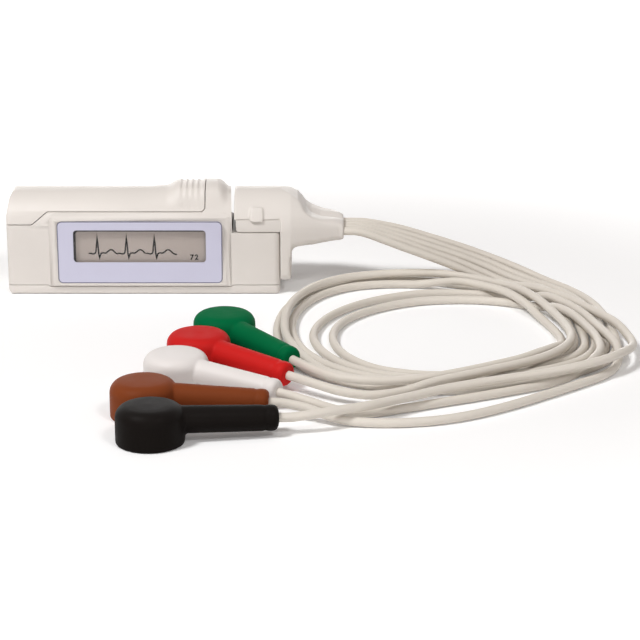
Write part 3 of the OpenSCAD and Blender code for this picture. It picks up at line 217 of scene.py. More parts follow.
# Points of each lead's centre line, from the relief to the snap, in millimetres
ROUTE = {
    "white": [
        (53, -4.4, 13.4), (60, -4, 10.6), (67, -3.3, 7.8), (73, -2.7, 5.3), (79, -2.8, 2.6),
        (84, -4.8, 1.2), (88.5, -8.8, 1), (92.3, -14.2, 1), (95.1, -21.5, 1), (96.7, -30, 1),
        (97.2, -39, 1), (97.2, -46, 1), (96.2, -52, 1), (93.3, -57.2, 1), (88.5, -61.3, 1),
        (82, -65, 1), (74.5, -68.2, 1), (66.5, -70.3, 1), (59.5, -69.2, 1), (53, -65.8, 1),
        (48, -59.5, 1), (45, -51.5, 1), (44.3, -43.5, 1), (45.8, -35.5, 1), (50, -28, 1),
        (56.5, -21.8, 1), (64, -17.8, 1), (71.5, -16.4, 1), (78, -16.6, 1), (84, -18.2, 1),
        (88.5, -20.6, 1), (92.3, -24.4, 1.8), (95.3, -29.5, 3.2), (98.2, -36.5, 3.5),
        (100.2, -44, 3.3), (101.4, -52, 3.4), (101.2, -60, 3.3), (98.8, -66.6, 3.2),
        (95.2, -71, 1.8), (89.5, -75, 1), (82, -79.3, 1), (74, -83.3, 1), (66, -87, 1),
        (58.5, -90.5, 1), (51.5, -93.3, 1.1), (45, -94, 1.9), (39.5, -92.2, 3)],
    "brown": [
        (53, -2.2, 13.6), (60, -1.8, 11.2), (67, -1.1, 8.4), (74, -0.4, 5.7), (80, -0.7, 3.2),
        (85.2, -2.8, 1.4), (90.2, -7, 1), (94.2, -13, 1), (97.4, -20.8, 1), (99, -29.5, 1),
        (99.5, -39, 1), (99.5, -46, 1), (98.5, -52.6, 1), (95.4, -58.6, 1), (90.2, -63.2, 1),
        (83.3, -67.1, 1), (75.4, -70.5, 1), (67, -72.7, 1), (59, -71.8, 1), (51.7, -68.2, 1),
        (45.8, -62.2, 1), (41.8, -54, 1), (40, -45.5, 1), (40.8, -37, 1), (43.8, -29, 1),
        (48.8, -21.8, 1), (55, -16.4, 1), (62, -12.6, 1), (69, -11, 1), (75, -11.4, 1),
        (80.5, -12.6, 1), (85, -14.3, 1), (89.5, -17, 1.8), (93.5, -21, 3.3), (97.3, -27, 3.4),
        (100.4, -34.5, 3.4), (102.5, -43, 3.3), (104.2, -51, 3.4), (105.2, -58, 3),
        (104.2, -64.5, 1.4), (100.8, -70.2, 1), (95, -75.8, 1), (88, -82, 1), (80.5, -88.3, 1),
        (73, -93.6, 1), (66, -97, 1), (59, -98.7, 1), (52, -98.9, 1), (45, -98, 1.5),
        (38.5, -95.4, 2.9)],
    "green": [
        (53, 0, 13.8), (60, 0.4, 11.6), (67, 1, 9.1), (74, 1.7, 6.6), (80.5, 1.7, 4.1),
        (86.4, -0.2, 1.9), (92, -4.8, 1), (96.4, -11.6, 1), (99.7, -20, 1), (101.4, -29.5, 1),
        (101.8, -39, 1), (101.8, -46, 1), (100.7, -53.2, 1), (97.4, -59.9, 1), (91.9, -65, 1),
        (84.5, -69.1, 1), (76.3, -72.7, 1), (67.5, -75, 1), (58.8, -74.3, 1), (50.8, -70.8, 1),
        (43.7, -64.5, 1), (38.8, -56, 1), (36, -46.5, 1), (35.1, -36.5, 1), (36, -27, 1),
        (38.5, -18.5, 1), (42.8, -11.2, 1), (49, -6, 1), (56.5, -3.8, 1), (64, -3.8, 1),
        (70, -6, 2.2), (74.8, -9, 3.2), (79.5, -12.6, 3.3), (84.5, -18, 3.4), (88.3, -24, 2.6),
        (91.2, -31, 1.3), (93.3, -38.5, 1), (94.3, -45, 1), (93.9, -51, 1.4), (92, -56.3, 2.7),
        (88.5, -61.3, 3.3), (83.3, -66.4, 3.3), (77.3, -70.8, 3.4), (71, -74.8, 3.4),
        (64.5, -78.2, 3.4), (57.5, -80.2, 3.3), (50.5, -80, 3.3), (44.5, -77.5, 3.3),
        (39.6, -72.7, 3.4)],
    "red": [
        (53, 2.3, 13.9), (60, 2.7, 12), (67, 3.3, 9.7), (74.2, 3.9, 7.1), (81, 3.9, 4.6),
        (87.4, 1.9, 2.3), (93.6, -3, 1), (98.4, -10.4, 1), (101.9, -19.3, 1), (103.6, -29.5, 1),
        (104.1, -39, 1), (104.1, -46, 1), (103, -53.8, 1), (99.5, -61.1, 1), (93.5, -66.7, 1),
        (85.8, -71.1, 1), (77.2, -74.8, 1), (68, -77.2, 1), (58.7, -76.7, 1), (50, -73.2, 1),
        (42.3, -67, 1), (37.4, -58, 1.6), (34.2, -49, 2.6), (33.6, -40, 3.2), (34.2, -30, 3.2),
        (36.5, -20.5, 3.2), (40.7, -12, 3.2), (47, -6, 3.2), (55, -2.8, 3.2), (63, -1.9, 3.3),
        (70, -2.6, 3.3), (76, -5.8, 3.4), (82, -10.6, 3.5), (87.2, -17, 3.9), (91, -24.8, 3.9),
        (94, -34, 3.3), (95.7, -43, 3.2), (96, -51, 3.3), (94, -58, 3.4), (89.8, -63.8, 3.3),
        (84.3, -68.6, 3.3), (78.2, -72.9, 3.4), (71.8, -77, 3.4), (65, -80.8, 3.3),
        (58.5, -84, 2.4), (52, -86, 2.2), (45.8, -85, 2.6), (40.5, -82, 3.2)],
    "black": [
        (53, 4.5, 14), (60.3, 5.1, 12.4), (67.5, 5.8, 10.1), (75, 6.2, 7.6), (82, 6, 5.1),
        (88.7, 3.9, 2.9), (95.2, -1.1, 1.2), (100.5, -9, 1), (104.2, -18.5, 1), (106, -29.5, 1),
        (106.4, -39, 1), (106.4, -46, 1), (105.2, -54.5, 1), (101.5, -62.4, 1), (95.2, -68.5, 1),
        (87, -73.2, 1), (78, -77.1, 1), (68.5, -79.6, 1), (58.5, -79.2, 1), (49, -75.7, 1),
        (40.8, -69, 1), (35.2, -60, 1), (32.6, -50, 1), (31.9, -40, 1), (32.5, -30, 1),
        (34.6, -20.5, 1), (38.8, -11.8, 1), (45, -5.2, 1), (53, -1.6, 1), (61, -0.8, 1),
        (67.5, -1.5, 1), (73, -3.6, 1), (77.5, -6.2, 1), (82, -8.5, 1.4), (86.3, -10.9, 2.7),
        (90.8, -14.2, 3.4), (95.5, -19.2, 3.4), (99.8, -26, 3.4), (103.5, -34, 3.5),
        (106.8, -41.5, 3.5), (108.7, -49, 2.8), (108.7, -56, 3), (106.4, -62.8, 4),
        (101.8, -68.8, 4.3), (95.4, -73, 4), (88, -76, 3.5), (80.5, -78.9, 3.4), (73, -82.3, 3.4),
        (66, -86, 3.4), (60, -90, 3.4), (54.5, -94, 3.6), (49.5, -97.4, 3.8), (44, -100.1, 3.9),
        (39.5, -101.7, 3.7)]}


def lead_start(colour):
    """Where a lead leaves the strain relief, in millimetres."""
    return Vector(EXIT) + Vector((0, (COLOURS.index(colour) - 2) * LEAD_PITCH, 0))


def lead_line(colour):
    """The lead's centre line in metres: straight out, through its route, straight into its snap."""
    (x, y), turn = SNAP_AT[colour]
    dip = math.asin(STEM_DROP / STEM_L)
    along = Vector((math.cos(math.radians(turn)) * math.cos(dip),
                    math.sin(math.radians(turn)) * math.cos(dip), -math.sin(dip)))
    start = lead_start(colour)
    tip = Vector((x, y, STEM_Z)) + STEM_L * along
    p = [start, start + Vector((STRAIGHT, 0, 0))] + [Vector(q) for q in ROUTE[colour]]
    p += [tip + STRAIGHT * along, tip]
    line = [p[0]]
    for i in range(1, len(p) - 2):
        a, b, c, d = p[i - 1], p[i], p[i + 1], p[i + 2]
        for k in range(ROUTE_STEPS):
            f = k / ROUTE_STEPS
            line.append(0.5 * (2 * b + (c - a) * f + (2 * a - 5 * b + 4 * c - d) * f ** 2
                               + (3 * b - a - 3 * c + d) * f ** 3))
    line += [p[-2], p[-1]]
    return [Vector((q.x, q.y, max(q.z, LEAD_D / 2))) * MM for q in line]


def make_lead(colour):
    """A lead's jacket: a round curve along its line, whose points carry the radius."""
    line = lead_line(colour)
    data = bpy.data.curves.new("jacket_" + colour, "CURVE")
    data.dimensions = "3D"
    data.bevel_depth = 1
    data.bevel_resolution = 6
    data.use_fill_caps = True
    spline = data.splines.new("POLY")
    spline.points.add(len(line) - 1)
    for point, q in zip(spline.points, line):
        point.co = (q.x, q.y, q.z, 1)
        point.radius = LEAD_D / 2 * MM
    lead = bpy.data.objects.new("jacket_" + colour, data)
    bpy.context.scene.collection.objects.link(lead)
    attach(lead, "patient_cable")
    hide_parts("lead_" + colour)
    return lead


leads = {c: make_lead(c) for c in COLOURS}


# ---------------------------------------------------------------- materials

# A noise stays between these nearly everywhere
NOISE_LOW = 0.3
NOISE_HIGH = 0.7


def surface(name):
    """An empty node material: its tree, its shader and the object's own coordinates."""
    mat = bpy.data.materials.new(name)
    mat.use_nodes = True
    tree = mat.node_tree
    shader = tree.nodes["Principled BSDF"]
    coord = tree.nodes.new("ShaderNodeTexCoord")
    return mat, tree, shader, coord.outputs["Object"]


def noise(tree, place, scale, detail=3.0):
    """A noise, from 0 to 1, whose scale counts blotches to the metre."""
    tex = tree.nodes.new("ShaderNodeTexNoise")
    tex.inputs["Scale"].default_value = scale
    tex.inputs["Detail"].default_value = detail
    tree.links.new(place, tex.inputs["Vector"])
    return tex.outputs["Fac"]


def spread(tree, value, low, high):
    """Maps a noise's middle onto a range."""
    span = tree.nodes.new("ShaderNodeMapRange")
    span.inputs["From Min"].default_value = NOISE_LOW
    span.inputs["From Max"].default_value = NOISE_HIGH
    span.inputs["To Min"].default_value = low
    span.inputs["To Max"].default_value = high
    tree.links.new(value, span.inputs["Value"])
    return span.outputs["Result"]


def two_tone(tree, value, one, two):
    """A colour that changes from one tone to another with a noise."""
    tones = tree.nodes.new("ShaderNodeValToRGB")
    tones.color_ramp.elements[0].position = NOISE_LOW
    tones.color_ramp.elements[1].position = NOISE_HIGH
    tones.color_ramp.elements[0].color = (*one, 1)
    tones.color_ramp.elements[1].color = (*two, 1)
    tree.links.new(value, tones.inputs["Fac"])
    return tones.outputs["Color"]


def relief(tree, shader, height, depth, strength):
    """Fine bumps on the surface, their depth in metres."""
    bump = tree.nodes.new("ShaderNodeBump")
    bump.inputs["Strength"].default_value = strength
    bump.inputs["Distance"].default_value = depth
    tree.links.new(height, bump.inputs["Height"])
    tree.links.new(bump.outputs["Normal"], shader.inputs["Normal"])


def linear(rgb):
    """A screen colour, 0 to 255, as the shader's linear colour."""
    return tuple(((c / 255 + 0.055) / 1.055) ** 2.4 if c > 10 else c / 255 / 12.92 for c in rgb)


def shaded(colour, share):
    return tuple(min(1, c * share) for c in colour)


def moulding(name, rgb, rough=0.42, mottle=0.03, grain=3200, grain_depth=0.00002, shine=0.45):
    """Moulded plastic: soft blotches in the colour, a changing gloss and a fine spark-eroded grain."""
    mat, tree, shader, place = surface(name)
    base = linear(rgb)
    blotch = noise(tree, place, 70, 4)
    tree.links.new(two_tone(tree, blotch, shaded(base, 1 - mottle), shaded(base, 1 + mottle)),
                   shader.inputs["Base Color"])
    tree.links.new(spread(tree, noise(tree, place, 240, 3), rough - 0.05, rough + 0.06),
                   shader.inputs["Roughness"])
    shader.inputs["Specular IOR Level"].default_value = shine
    relief(tree, shader, noise(tree, place, grain, 2), grain_depth, 0.35)
    return mat


def plating(name, rgb, rough=0.25, brushed=False):
    """Plated or bright metal with faint drawing lines or a fine tumble texture."""
    mat, tree, shader, place = surface(name)
    base = linear(rgb)
    if brushed:
        stretch = tree.nodes.new("ShaderNodeMapping")
        stretch.inputs["Scale"].default_value = (0.08, 1, 1)
        tree.links.new(place, stretch.inputs["Vector"])
        place = stretch.outputs["Vector"]
    lines = noise(tree, place, 2600, 3)
    tree.links.new(two_tone(tree, noise(tree, place, 300, 2), shaded(base, 0.92), base),
                   shader.inputs["Base Color"])
    shader.inputs["Metallic"].default_value = 1.0
    tree.links.new(spread(tree, lines, rough - 0.06, rough + 0.08), shader.inputs["Roughness"])
    relief(tree, shader, lines, 0.00001, 0.25)
    return mat


body_plastic = moulding("body_moulding", (219, 213, 207), 0.48, 0.016, shine=0.35)
door_plastic = moulding("door_moulding", (220, 214, 208), 0.48, 0.016, shine=0.35)
plug_plastic = moulding("plug_moulding", (220, 214, 208), 0.46, 0.016, shine=0.35)
shroud_plastic = moulding("shroud_moulding", (215, 209, 203), 0.48, 0.016, shine=0.35)
overlay_film = moulding("overlay_film", (202, 201, 220), 0.36, 0.004, 5200, 0.000004, 0.3)
# Painted shade: a dark line that stands for the shade in the gap and recess round the tinted film
overlay_edge_shade = moulding("overlay_edge_painted_shade", (112, 112, 132), 0.45, 0.02)
# Partly the display's dark mask, partly painted shade of the window's recess
window_mask_and_shade = moulding("window_mask_and_painted_shade", (44, 41, 40), 0.6, 0.08)
lcd_ink = moulding("lcd_segment", (14, 12, 11), 0.8, 0.05, shine=0.05)
lead_jacket = moulding("lead_jacket", (217, 210, 200), 0.48, 0.02, 1500, 0.00002, 0.25)
carrier_plastic = moulding("carrier_plastic", (214, 208, 200), 0.5, 0.03)
elastomer = moulding("contact_elastomer", (60, 60, 64), 0.7, 0.1)
chip_plastic = moulding("chip_epoxy", (38, 38, 42), 0.55, 0.06)
event_plastic = moulding("event_cap", (122, 160, 205), 0.38, 0.03)
select_plastic = moulding("select_cap", (188, 184, 178), 0.42, 0.03)
switch_plastic = moulding("switch_black", (48, 48, 50), 0.5, 0.06)
header_plastic = moulding("header_black", (40, 40, 42), 0.5, 0.06)
snap_plastic = {
    "white": moulding("snap_white_moulding", (228, 223, 220), 0.42, 0.012, 1800, 0.00003, 0.25),
    "brown": moulding("snap_brown_moulding", (122, 60, 30), 0.5, 0.05, 1800, 0.00003, 0.05),
    "green": moulding("snap_green_moulding", (0, 100, 58), 0.5, 0.05, 1800, 0.00003, 0.03),
    "red": moulding("snap_red_moulding", (196, 32, 30), 0.5, 0.04, 1800, 0.00003, 0.07),
    "black": moulding("snap_black_moulding", (17, 13, 11), 0.5, 0.08, 1800, 0.00003, 0.05)}
nickel = plating("nickel_plate", (205, 203, 198), 0.24)
spring_steel = plating("spring_wire", (198, 198, 196), 0.22, True)
gold = plating("gold_plate", (226, 186, 110), 0.24)
screw_steel = plating("screw_plate", (200, 200, 198), 0.28, True)


def clear_window():
    """The polished window over the display, nearly all see-through."""
    mat, tree, shader, place = surface("clear_window")
    tree.links.new(two_tone(tree, noise(tree, place, 200, 3), (0.86, 0.88, 0.9), (0.9, 0.92, 0.94)),
                   shader.inputs["Base Color"])
    tree.links.new(spread(tree, noise(tree, place, 500, 3), 0.04, 0.1), shader.inputs["Roughness"])
    shader.inputs["IOR"].default_value = 1.49
    shader.inputs["Alpha"].default_value = 0.03
    return mat


def lcd_glass():
    """Reflective display: a taupe ground with a fine sparkle."""
    mat, tree, shader, place = surface("lcd_ground")
    base = linear((170, 158, 150))
    sparkle = noise(tree, place, 1700, 2)
    tree.links.new(two_tone(tree, sparkle, shaded(base, 0.965), shaded(base, 1.03)),
                   shader.inputs["Base Color"])
    tree.links.new(spread(tree, noise(tree, place, 90, 3), 0.34, 0.42), shader.inputs["Roughness"])
    relief(tree, shader, sparkle, 0.000008, 0.2)
    return mat


def board_mask():
    """Green solder mask over copper tracks."""
    mat, tree, shader, place = surface("board_mask")
    tracks = tree.nodes.new("ShaderNodeTexBrick")
    tracks.inputs["Scale"].default_value = 260
    tracks.inputs["Mortar Size"].default_value = 0.03
    tracks.inputs["Color1"].default_value = (0.012, 0.11, 0.05, 1)
    tracks.inputs["Color2"].default_value = (0.014, 0.13, 0.06, 1)
    tracks.inputs["Mortar"].default_value = (0.03, 0.2, 0.09, 1)
    tree.links.new(place, tracks.inputs["Vector"])
    tree.links.new(tracks.outputs["Color"], shader.inputs["Base Color"])
    tree.links.new(spread(tree, noise(tree, place, 300, 3), 0.28, 0.38), shader.inputs["Roughness"])
    relief(tree, shader, tracks.outputs["Fac"], 0.00003, 0.3)
    return mat


# The cell's sleeve changes from blue to gold between these places along the recorder, in metres
SLEEVE_SPLIT = (0.0045, 0.0049)
SLEEVE_BLUE = (0.03, 0.10, 0.30, 1)
SLEEVE_GOLD = (0.55, 0.40, 0.16, 1)


def cell_wrap():
    """Shrunk sleeve of the cell: one plain band of a second colour at its positive end."""
    mat, tree, shader, place = surface("cell_wrap")
    split = tree.nodes.new("ShaderNodeSeparateXYZ")
    tree.links.new(place, split.inputs[0])
    band = tree.nodes.new("ShaderNodeMapRange")
    band.inputs["From Min"].default_value = SLEEVE_SPLIT[0]
    band.inputs["From Max"].default_value = SLEEVE_SPLIT[1]
    tree.links.new(split.outputs["X"], band.inputs["Value"])
    tones = tree.nodes.new("ShaderNodeValToRGB")
    tones.color_ramp.elements[0].color = SLEEVE_BLUE
    tones.color_ramp.elements[1].color = SLEEVE_GOLD
    tree.links.new(band.outputs["Result"], tones.inputs["Fac"])
    tree.links.new(tones.outputs["Color"], shader.inputs["Base Color"])
    tree.links.new(spread(tree, noise(tree, place, 500, 3), 0.2, 0.3), shader.inputs["Roughness"])
    shader.inputs["Metallic"].default_value = 0.4
    relief(tree, shader, noise(tree, place, 260, 2), 0.00001, 0.1)
    return mat


window_clear = clear_window()
lcd_ground = lcd_glass()
solder_mask = board_mask()
sleeve = cell_wrap()


def dress(obj, mat):
    """Gives a piece or a CAD node its one material."""
    obj.data.materials.clear()
    obj.data.materials.append(mat)


# ---------------------------------------------------------------- pieces finished from the solids

# Metres: points nearer than this are one point
WELD = 2e-6
# Degrees: faces that differ by less are one flat face, and edges that are blunter are shaded smooth
FLAT_ANGLE = 0.4
SMOOTH_ANGLE = 28
EDGE_ANGLE = 32


def nothing_selected():
    """Leaves edit mode and lets go of everything."""
    if bpy.context.object and bpy.context.object.mode != "OBJECT":
        bpy.ops.object.mode_set(mode="OBJECT")
    bpy.ops.object.select_all(action="DESELECT")


def only(piece):
    """Selects one piece alone and makes it the active one."""
    nothing_selected()
    piece.select_set(True)
    bpy.context.view_layer.objects.active = piece


def merged_copy(name, *names):
    """One welded copy of some CAD nodes, with no tie to the frame."""
    nothing_selected()
    for n in names:
        node[n].select_set(True)
    bpy.context.view_layer.objects.active = node[names[0]]
    bpy.ops.object.duplicate()
    if len(names) > 1:
        bpy.ops.object.join()
    piece = bpy.context.object
    piece.parent = None
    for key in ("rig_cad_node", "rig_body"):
        if key in piece:
            del piece[key]
    piece.name = name
    piece.data.name = name
    bpy.ops.object.mode_set(mode="EDIT")
    bpy.ops.mesh.select_all(action="SELECT")
    bpy.ops.mesh.remove_doubles(threshold=WELD)
    bpy.ops.object.mode_set(mode="OBJECT")
    return piece


def apply_all(piece):
    """Applies a piece's modifiers in their order and leaves it selected."""
    only(piece)
    for m in list(piece.modifiers):
        bpy.ops.object.modifier_apply(modifier=m.name)


def crisp_copy(name, names, edge, forms=()):
    """A copy whose edges are broken with a small round, as a mould leaves them; edge in millimetres."""
    piece = merged_copy(name, *names)
    bpy.ops.object.mode_set(mode="EDIT")
    bpy.ops.mesh.select_all(action="SELECT")
    bpy.ops.mesh.dissolve_limited(angle_limit=math.radians(FLAT_ANGLE))
    bpy.ops.object.mode_set(mode="OBJECT")
    for form in forms:
        form(piece)
    round_off = piece.modifiers.new("edge_round", "BEVEL")
    round_off.width = edge * MM
    round_off.segments = 3
    round_off.limit_method = "ANGLE"
    round_off.angle_limit = math.radians(EDGE_ANGLE)
    round_off.use_clamp_overlap = True
    round_off.miter_outer = "MITER_ARC"
    apply_all(piece)
    bpy.ops.object.mode_set(mode="EDIT")
    bpy.ops.mesh.select_all(action="SELECT")
    bpy.ops.mesh.remove_doubles(threshold=WELD)
    bpy.ops.mesh.dissolve_degenerate(threshold=WELD)
    bpy.ops.object.mode_set(mode="OBJECT")
    bpy.ops.object.shade_smooth_by_angle(angle=math.radians(SMOOTH_ANGLE))
    return piece


def soft_copy(name, names, voxel, passes):
    """A copy rebuilt as one even skin and relaxed, so that its forms flow together; voxel in millimetres."""
    piece = merged_copy(name, *names)
    skin = piece.modifiers.new("skin", "REMESH")
    skin.mode = "VOXEL"
    skin.voxel_size = voxel * MM
    skin.adaptivity = 0
    relax = piece.modifiers.new("relax", "SMOOTH")
    relax.factor = 0.5
    relax.iterations = passes
    apply_all(piece)
    bpy.ops.object.shade_smooth()
    return piece


def place_on(piece, body, slot, mat, *stands_for):
    """Seats a piece on its body, with its material and the CAD nodes that it replaces; its slot is not used.
    """
    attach(piece, body)
    if stands_for:
        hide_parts(*stands_for)
    dress(piece, mat)
    return piece


# Millimetres: the middle and the radius of the half-round top
TOP_Y = 0.15
TOP_Z = 14.85
TOP_R = 8.95
# The thumb hump: its rise over the top, how square its section is, and where its ramp runs
HUMP_RISE = 1.6
HUMP_SQUARE = 2.6
RAMP_FROM = 0.0
RAMP_TO = 8.6
RINGS = 13
RING_PITCH = 0.5
GROOVE_DEEPEST = 0.5
# Degrees from straight up: where the hump and its grooves begin to run out, and over how many
SWELL_FADE = (20, 36)
GROOVE_FADE = (14, 30)
SEAM_HOLD = (47, 9)
# The recorder's end beside the plug, the shelf under the plug, and how far that wall leans
BLOCK_X = 20.8
WALL_ROUND = 0.65
SHELF_Z = 14.9
BACK_OPENING = 0.8


def ease(t):
    """A smooth step from 0 to 1."""
    u = max(0.0, min(1.0, t))
    return u * u * (3 - 2 * u)


def ramp(x):
    """Share of the hump's rise at a place along the door: a slow start, then a short slope."""
    return 0.17 * ease(x / 6) + 0.83 * ease((x - 5) / 3.4)


def kept(lean, fade):
    """Share of a form that is left where the surface leans so far, in degrees."""
    return 1 - ease((lean - fade[0]) / fade[1])


def more_rings(piece):
    """Cuts rings across the plain top, where the hump's ramp begins."""
    only(piece)
    bpy.ops.object.mode_set(mode="EDIT")
    for i in range(RINGS):
        bpy.ops.mesh.select_all(action="SELECT")
        bpy.ops.mesh.bisect(plane_co=((RAMP_FROM + RING_PITCH * i) * MM, 0, 0), plane_no=(1, 0, 0))
    bpy.ops.object.mode_set(mode="OBJECT")


def soften_hump(piece):
    """Gives the hump its long ramp and lets it and its grooves run out down the front and back."""
    for v in piece.data.vertices:
        x, y, z = v.co.x / MM, v.co.y / MM - TOP_Y, v.co.z / MM - TOP_Z
        r = math.hypot(y, z)
        if x < RAMP_FROM or x > BLOCK_X - 0.15 or z < 1 or r < TOP_R - 0.02:
            continue
        lean = math.degrees(math.atan2(abs(y), z))
        across, up = abs(y) / r, z / r
        share = (across / (TOP_R - 0.15)) ** HUMP_SQUARE + (up / (TOP_R + HUMP_RISE)) ** HUMP_SQUARE
        full = max(TOP_R, share ** (-1 / HUMP_SQUARE))
        swell = (full - TOP_R) * kept(lean, SWELL_FADE)
        if x < RAMP_TO:
            new = TOP_R + swell * ramp(x)
        elif full - r < GROOVE_DEEPEST and full > TOP_R:
            new = TOP_R + swell - (full - r) * kept(lean, GROOVE_FADE)
        else:
            new = TOP_R + (r - TOP_R) * kept(lean, SWELL_FADE)
        # Near the door's seam a point keeps its height and only moves to the front or back
        level = ease((lean - SEAM_HOLD[0]) / SEAM_HOLD[1])
        sideways = math.copysign(math.sqrt(max(0, new * new - z * z)), y)
        v.co.y = (TOP_Y + y * new / r * (1 - level) + sideways * level) * MM
        v.co.z = (TOP_Z + z * new / r * (1 - level) + z * level) * MM


def open_at_the_back(piece):
    """Leans the wall beside the plug, so that the gap between them widens towards the back."""
    for v in piece.data.vertices:
        beside_plug = (BLOCK_X - WALL_ROUND) * MM < v.co.x < (BLOCK_X + 0.05) * MM
        if beside_plug and v.co.z > (SHELF_Z + 0.02) * MM:
            back = (v.co.y / MM - TOP_Y + TOP_R) / (2 * TOP_R)
            v.co.x -= BACK_OPENING * max(0, min(1, back)) * MM


place_on(crisp_copy("recorder_shell", ["main_housing"], 0.22, [soften_hump, open_at_the_back]),
         "recorder", "body_plastic", body_plastic, "main_housing")
place_on(crisp_copy("cover_shell", ["bottom_cover"], 0.15),
         "recorder", "body_plastic", body_plastic, "bottom_cover")
place_on(crisp_copy("door_shell", ["battery_door"], 0.12, [more_rings, soften_hump]),
         "battery_door", "door_plastic", door_plastic, "battery_door")
place_on(soft_copy("plug_body", ["plug_hood", "strain_relief"], 0.22, 7),
         "patient_cable", "plug_plastic", plug_plastic, "plug_hood", "strain_relief")
place_on(crisp_copy("plug_nose", ["plug_shroud"], 0.2),
         "patient_cable", "shroud_plastic", shroud_plastic, "plug_shroud")
snaps = {c: place_on(soft_copy("snap_head_" + c, ["snap_" + c], 0.24, 5),
                     "patient_cable", "snap_" + c, snap_plastic[c], "snap_" + c) for c in COLOURS}


# ---------------------------------------------------------------- display

# Millimetres: the front of the tinted film and of the display glass
Y_FILM = -9.45
Y_GLASS = -8.30
# A drawn line stands this far in front of what it is printed on
PROUD = 0.02


def flat_frame(name, x, z, w, h, corner, band, y, thick):
    """A thin frame in the plane of the display: x and z give its lower left corner, in millimetres."""
    nothing_selected()
    bpy.ops.mesh.primitive_plane_add(size=1, location=(0, 0, 0))
    piece = bpy.context.object
    piece.name = name
    piece.data.name = name
    piece.scale = (w * MM, h * MM, 1)
    piece.rotation_euler = (math.pi / 2, 0, 0)
    piece.location = ((x + w / 2) * MM, y * MM, (z + h / 2) * MM)
    bpy.ops.object.transform_apply(location=True, rotation=True, scale=True)
    bpy.ops.object.mode_set(mode="EDIT")
    bpy.ops.mesh.select_all(action="SELECT")
    bpy.ops.mesh.bevel(offset=corner * MM, segments=8, affect="VERTICES")
    bpy.ops.mesh.select_mode(type="FACE")
    bpy.ops.mesh.select_all(action="SELECT")
    bpy.ops.mesh.inset(thickness=band * MM)
    bpy.ops.mesh.delete(type="FACE")
    bpy.ops.mesh.select_all(action="SELECT")
    bpy.ops.mesh.extrude_region_move(TRANSFORM_OT_translate={"value": (0, thick * MM, 0)})
    bpy.ops.mesh.select_all(action="SELECT")
    bpy.ops.mesh.normals_make_consistent(inside=False)
    bpy.ops.object.mode_set(mode="OBJECT")
    return piece


def inked(curve):
    """Turns a drawn curve or a text into an inked mesh on the display."""
    only(curve)
    bpy.ops.object.convert(target="MESH")
    curve = bpy.context.object
    bpy.ops.object.transform_apply(location=True, rotation=True, scale=True)
    place_on(curve, "recorder", "lcd_glass", lcd_ink)


# A thin dark line round the tinted film: painted shade of the narrow gap and recess at the film's edge
place_on(flat_frame("overlay_edge", x=-20.02, z=2.98, w=38.54, h=14.94, corner=1.12, band=0.2,
                    y=Y_FILM - 0.012, thick=0.02),
         "recorder", "overlay_film", overlay_edge_shade)
# A black frame round the display window: partly the display's dark mask, partly painted shade of the
# window's recess
place_on(flat_frame("window_mask_and_painted_shade", x=-16.4, z=6.7, w=32.2, h=9.1, corner=1.2, band=0.6,
                    y=Y_GLASS - 0.04, thick=0.02),
         "recorder", "elastomer", window_mask_and_shade)

# One heart beat as (place, height) in millimetres from its highest point and the base line
BEAT = [(-2.05, -0.04), (-1.75, 0.03), (-1.5, 0.03), (-1.25, -0.08), (-1.0, -0.12), (-0.75, -0.08),
        (-0.5, 0.1), (-0.34, 0.5), (-0.2, 1.9), (0, 4.75), (0.16, 2.4), (0.3, -0.1), (0.46, -1.45),
        (0.62, -0.6), (0.78, -0.1), (1.0, 0.08), (1.35, 0.16), (1.75, 0.08), (2.05, 0.12),
        (2.4, 0.42), (2.8, 0.78), (3.2, 0.92), (3.55, 0.82), (3.9, 0.5), (4.25, 0.12), (4.55, -0.08)]
BEAT_AT = [-10.8, -3.95, 2.58]
BASE_LINE = 9.9
# How the trace ends after the last beat
TAIL = [(4.95, -0.2), (5.3, -0.22)]
TRACE_HALF_WIDTH = 0.2
TRACE_FLATNESS = 0.12
# The heart rate in the display's corner
RATE = "72"
RATE_X = 10.9
RATE_Z = 8.4
RATE_SIZE = 1.75


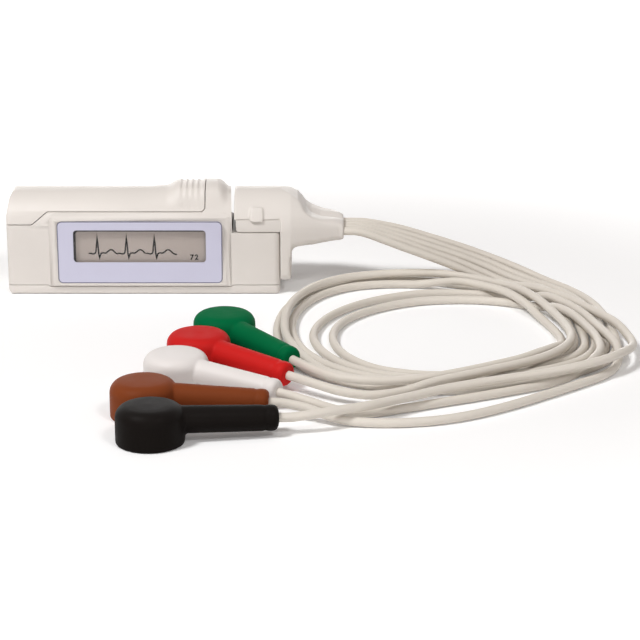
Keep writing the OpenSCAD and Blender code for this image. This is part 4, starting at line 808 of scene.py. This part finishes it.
def trace():
    """The heart's trace: a flattened line over the display glass."""
    data = bpy.data.curves.new("lcd_trace", "CURVE")
    data.dimensions = "3D"
    data.bevel_depth = TRACE_HALF_WIDTH * MM
    data.bevel_resolution = 1
    data.use_fill_caps = True
    points = [(at + x, BASE_LINE + z) for at in BEAT_AT for x, z in BEAT]
    points += [(BEAT_AT[-1] + x, BASE_LINE + z) for x, z in TAIL]
    spline = data.splines.new("POLY")
    spline.points.add(len(points) - 1)
    for point, (x, z) in zip(spline.points, points):
        point.co = (x * MM, 0, z * MM, 1)
    line = bpy.data.objects.new("lcd_trace", data)
    bpy.context.scene.collection.objects.link(line)
    line.scale = (1, TRACE_FLATNESS, 1)
    line.location = (0, (Y_GLASS - PROUD) * MM, 0)
    inked(line)


def rate_digits():
    """A plain number in the display's corner."""
    nothing_selected()
    bpy.ops.object.text_add(location=(RATE_X * MM, (Y_GLASS - PROUD) * MM, RATE_Z * MM),
                            rotation=(math.pi / 2, 0, 0))
    digits = bpy.context.object
    digits.name = "lcd_digits"
    digits.data.body = RATE
    digits.data.size = RATE_SIZE * MM
    digits.data.space_character = 1.25
    digits.data.offset = 0.06 * MM
    digits.data.extrude = 0.01 * MM
    inked(digits)


trace()
rate_digits()


# ---------------------------------------------------------------- finishes of the other nodes

FINISH = {
    "display_overlay": overlay_film, "display_window": window_clear, "display_panel": lcd_ground,
    "display_carrier": carrier_plastic, "display_contact_strip": elastomer,
    "main_board": solder_mask, "processor_chip": chip_plastic, "memory_chip": chip_plastic,
    "ecg_frontend_chip": chip_plastic, "battery_can": sleeve, "battery_cap": nickel,
    "battery_spring": spring_steel, "battery_contact": gold, "event_button": event_plastic,
    "select_button": select_plastic, "event_switch": switch_plastic,
    "select_switch": switch_plastic, "port_header": header_plastic, "port_pins": gold,
    "plug_contacts": gold}
FINISH.update({"case_screw_%d" % i: screw_steel for i in (1, 2, 3, 4)})
FINISH.update({"socket_" + c: nickel for c in COLOURS})
for node_name, finish in FINISH.items():
    dress(node[node_name], finish)

for c in COLOURS:
    dress(leads[c], lead_jacket)

studio_floor()
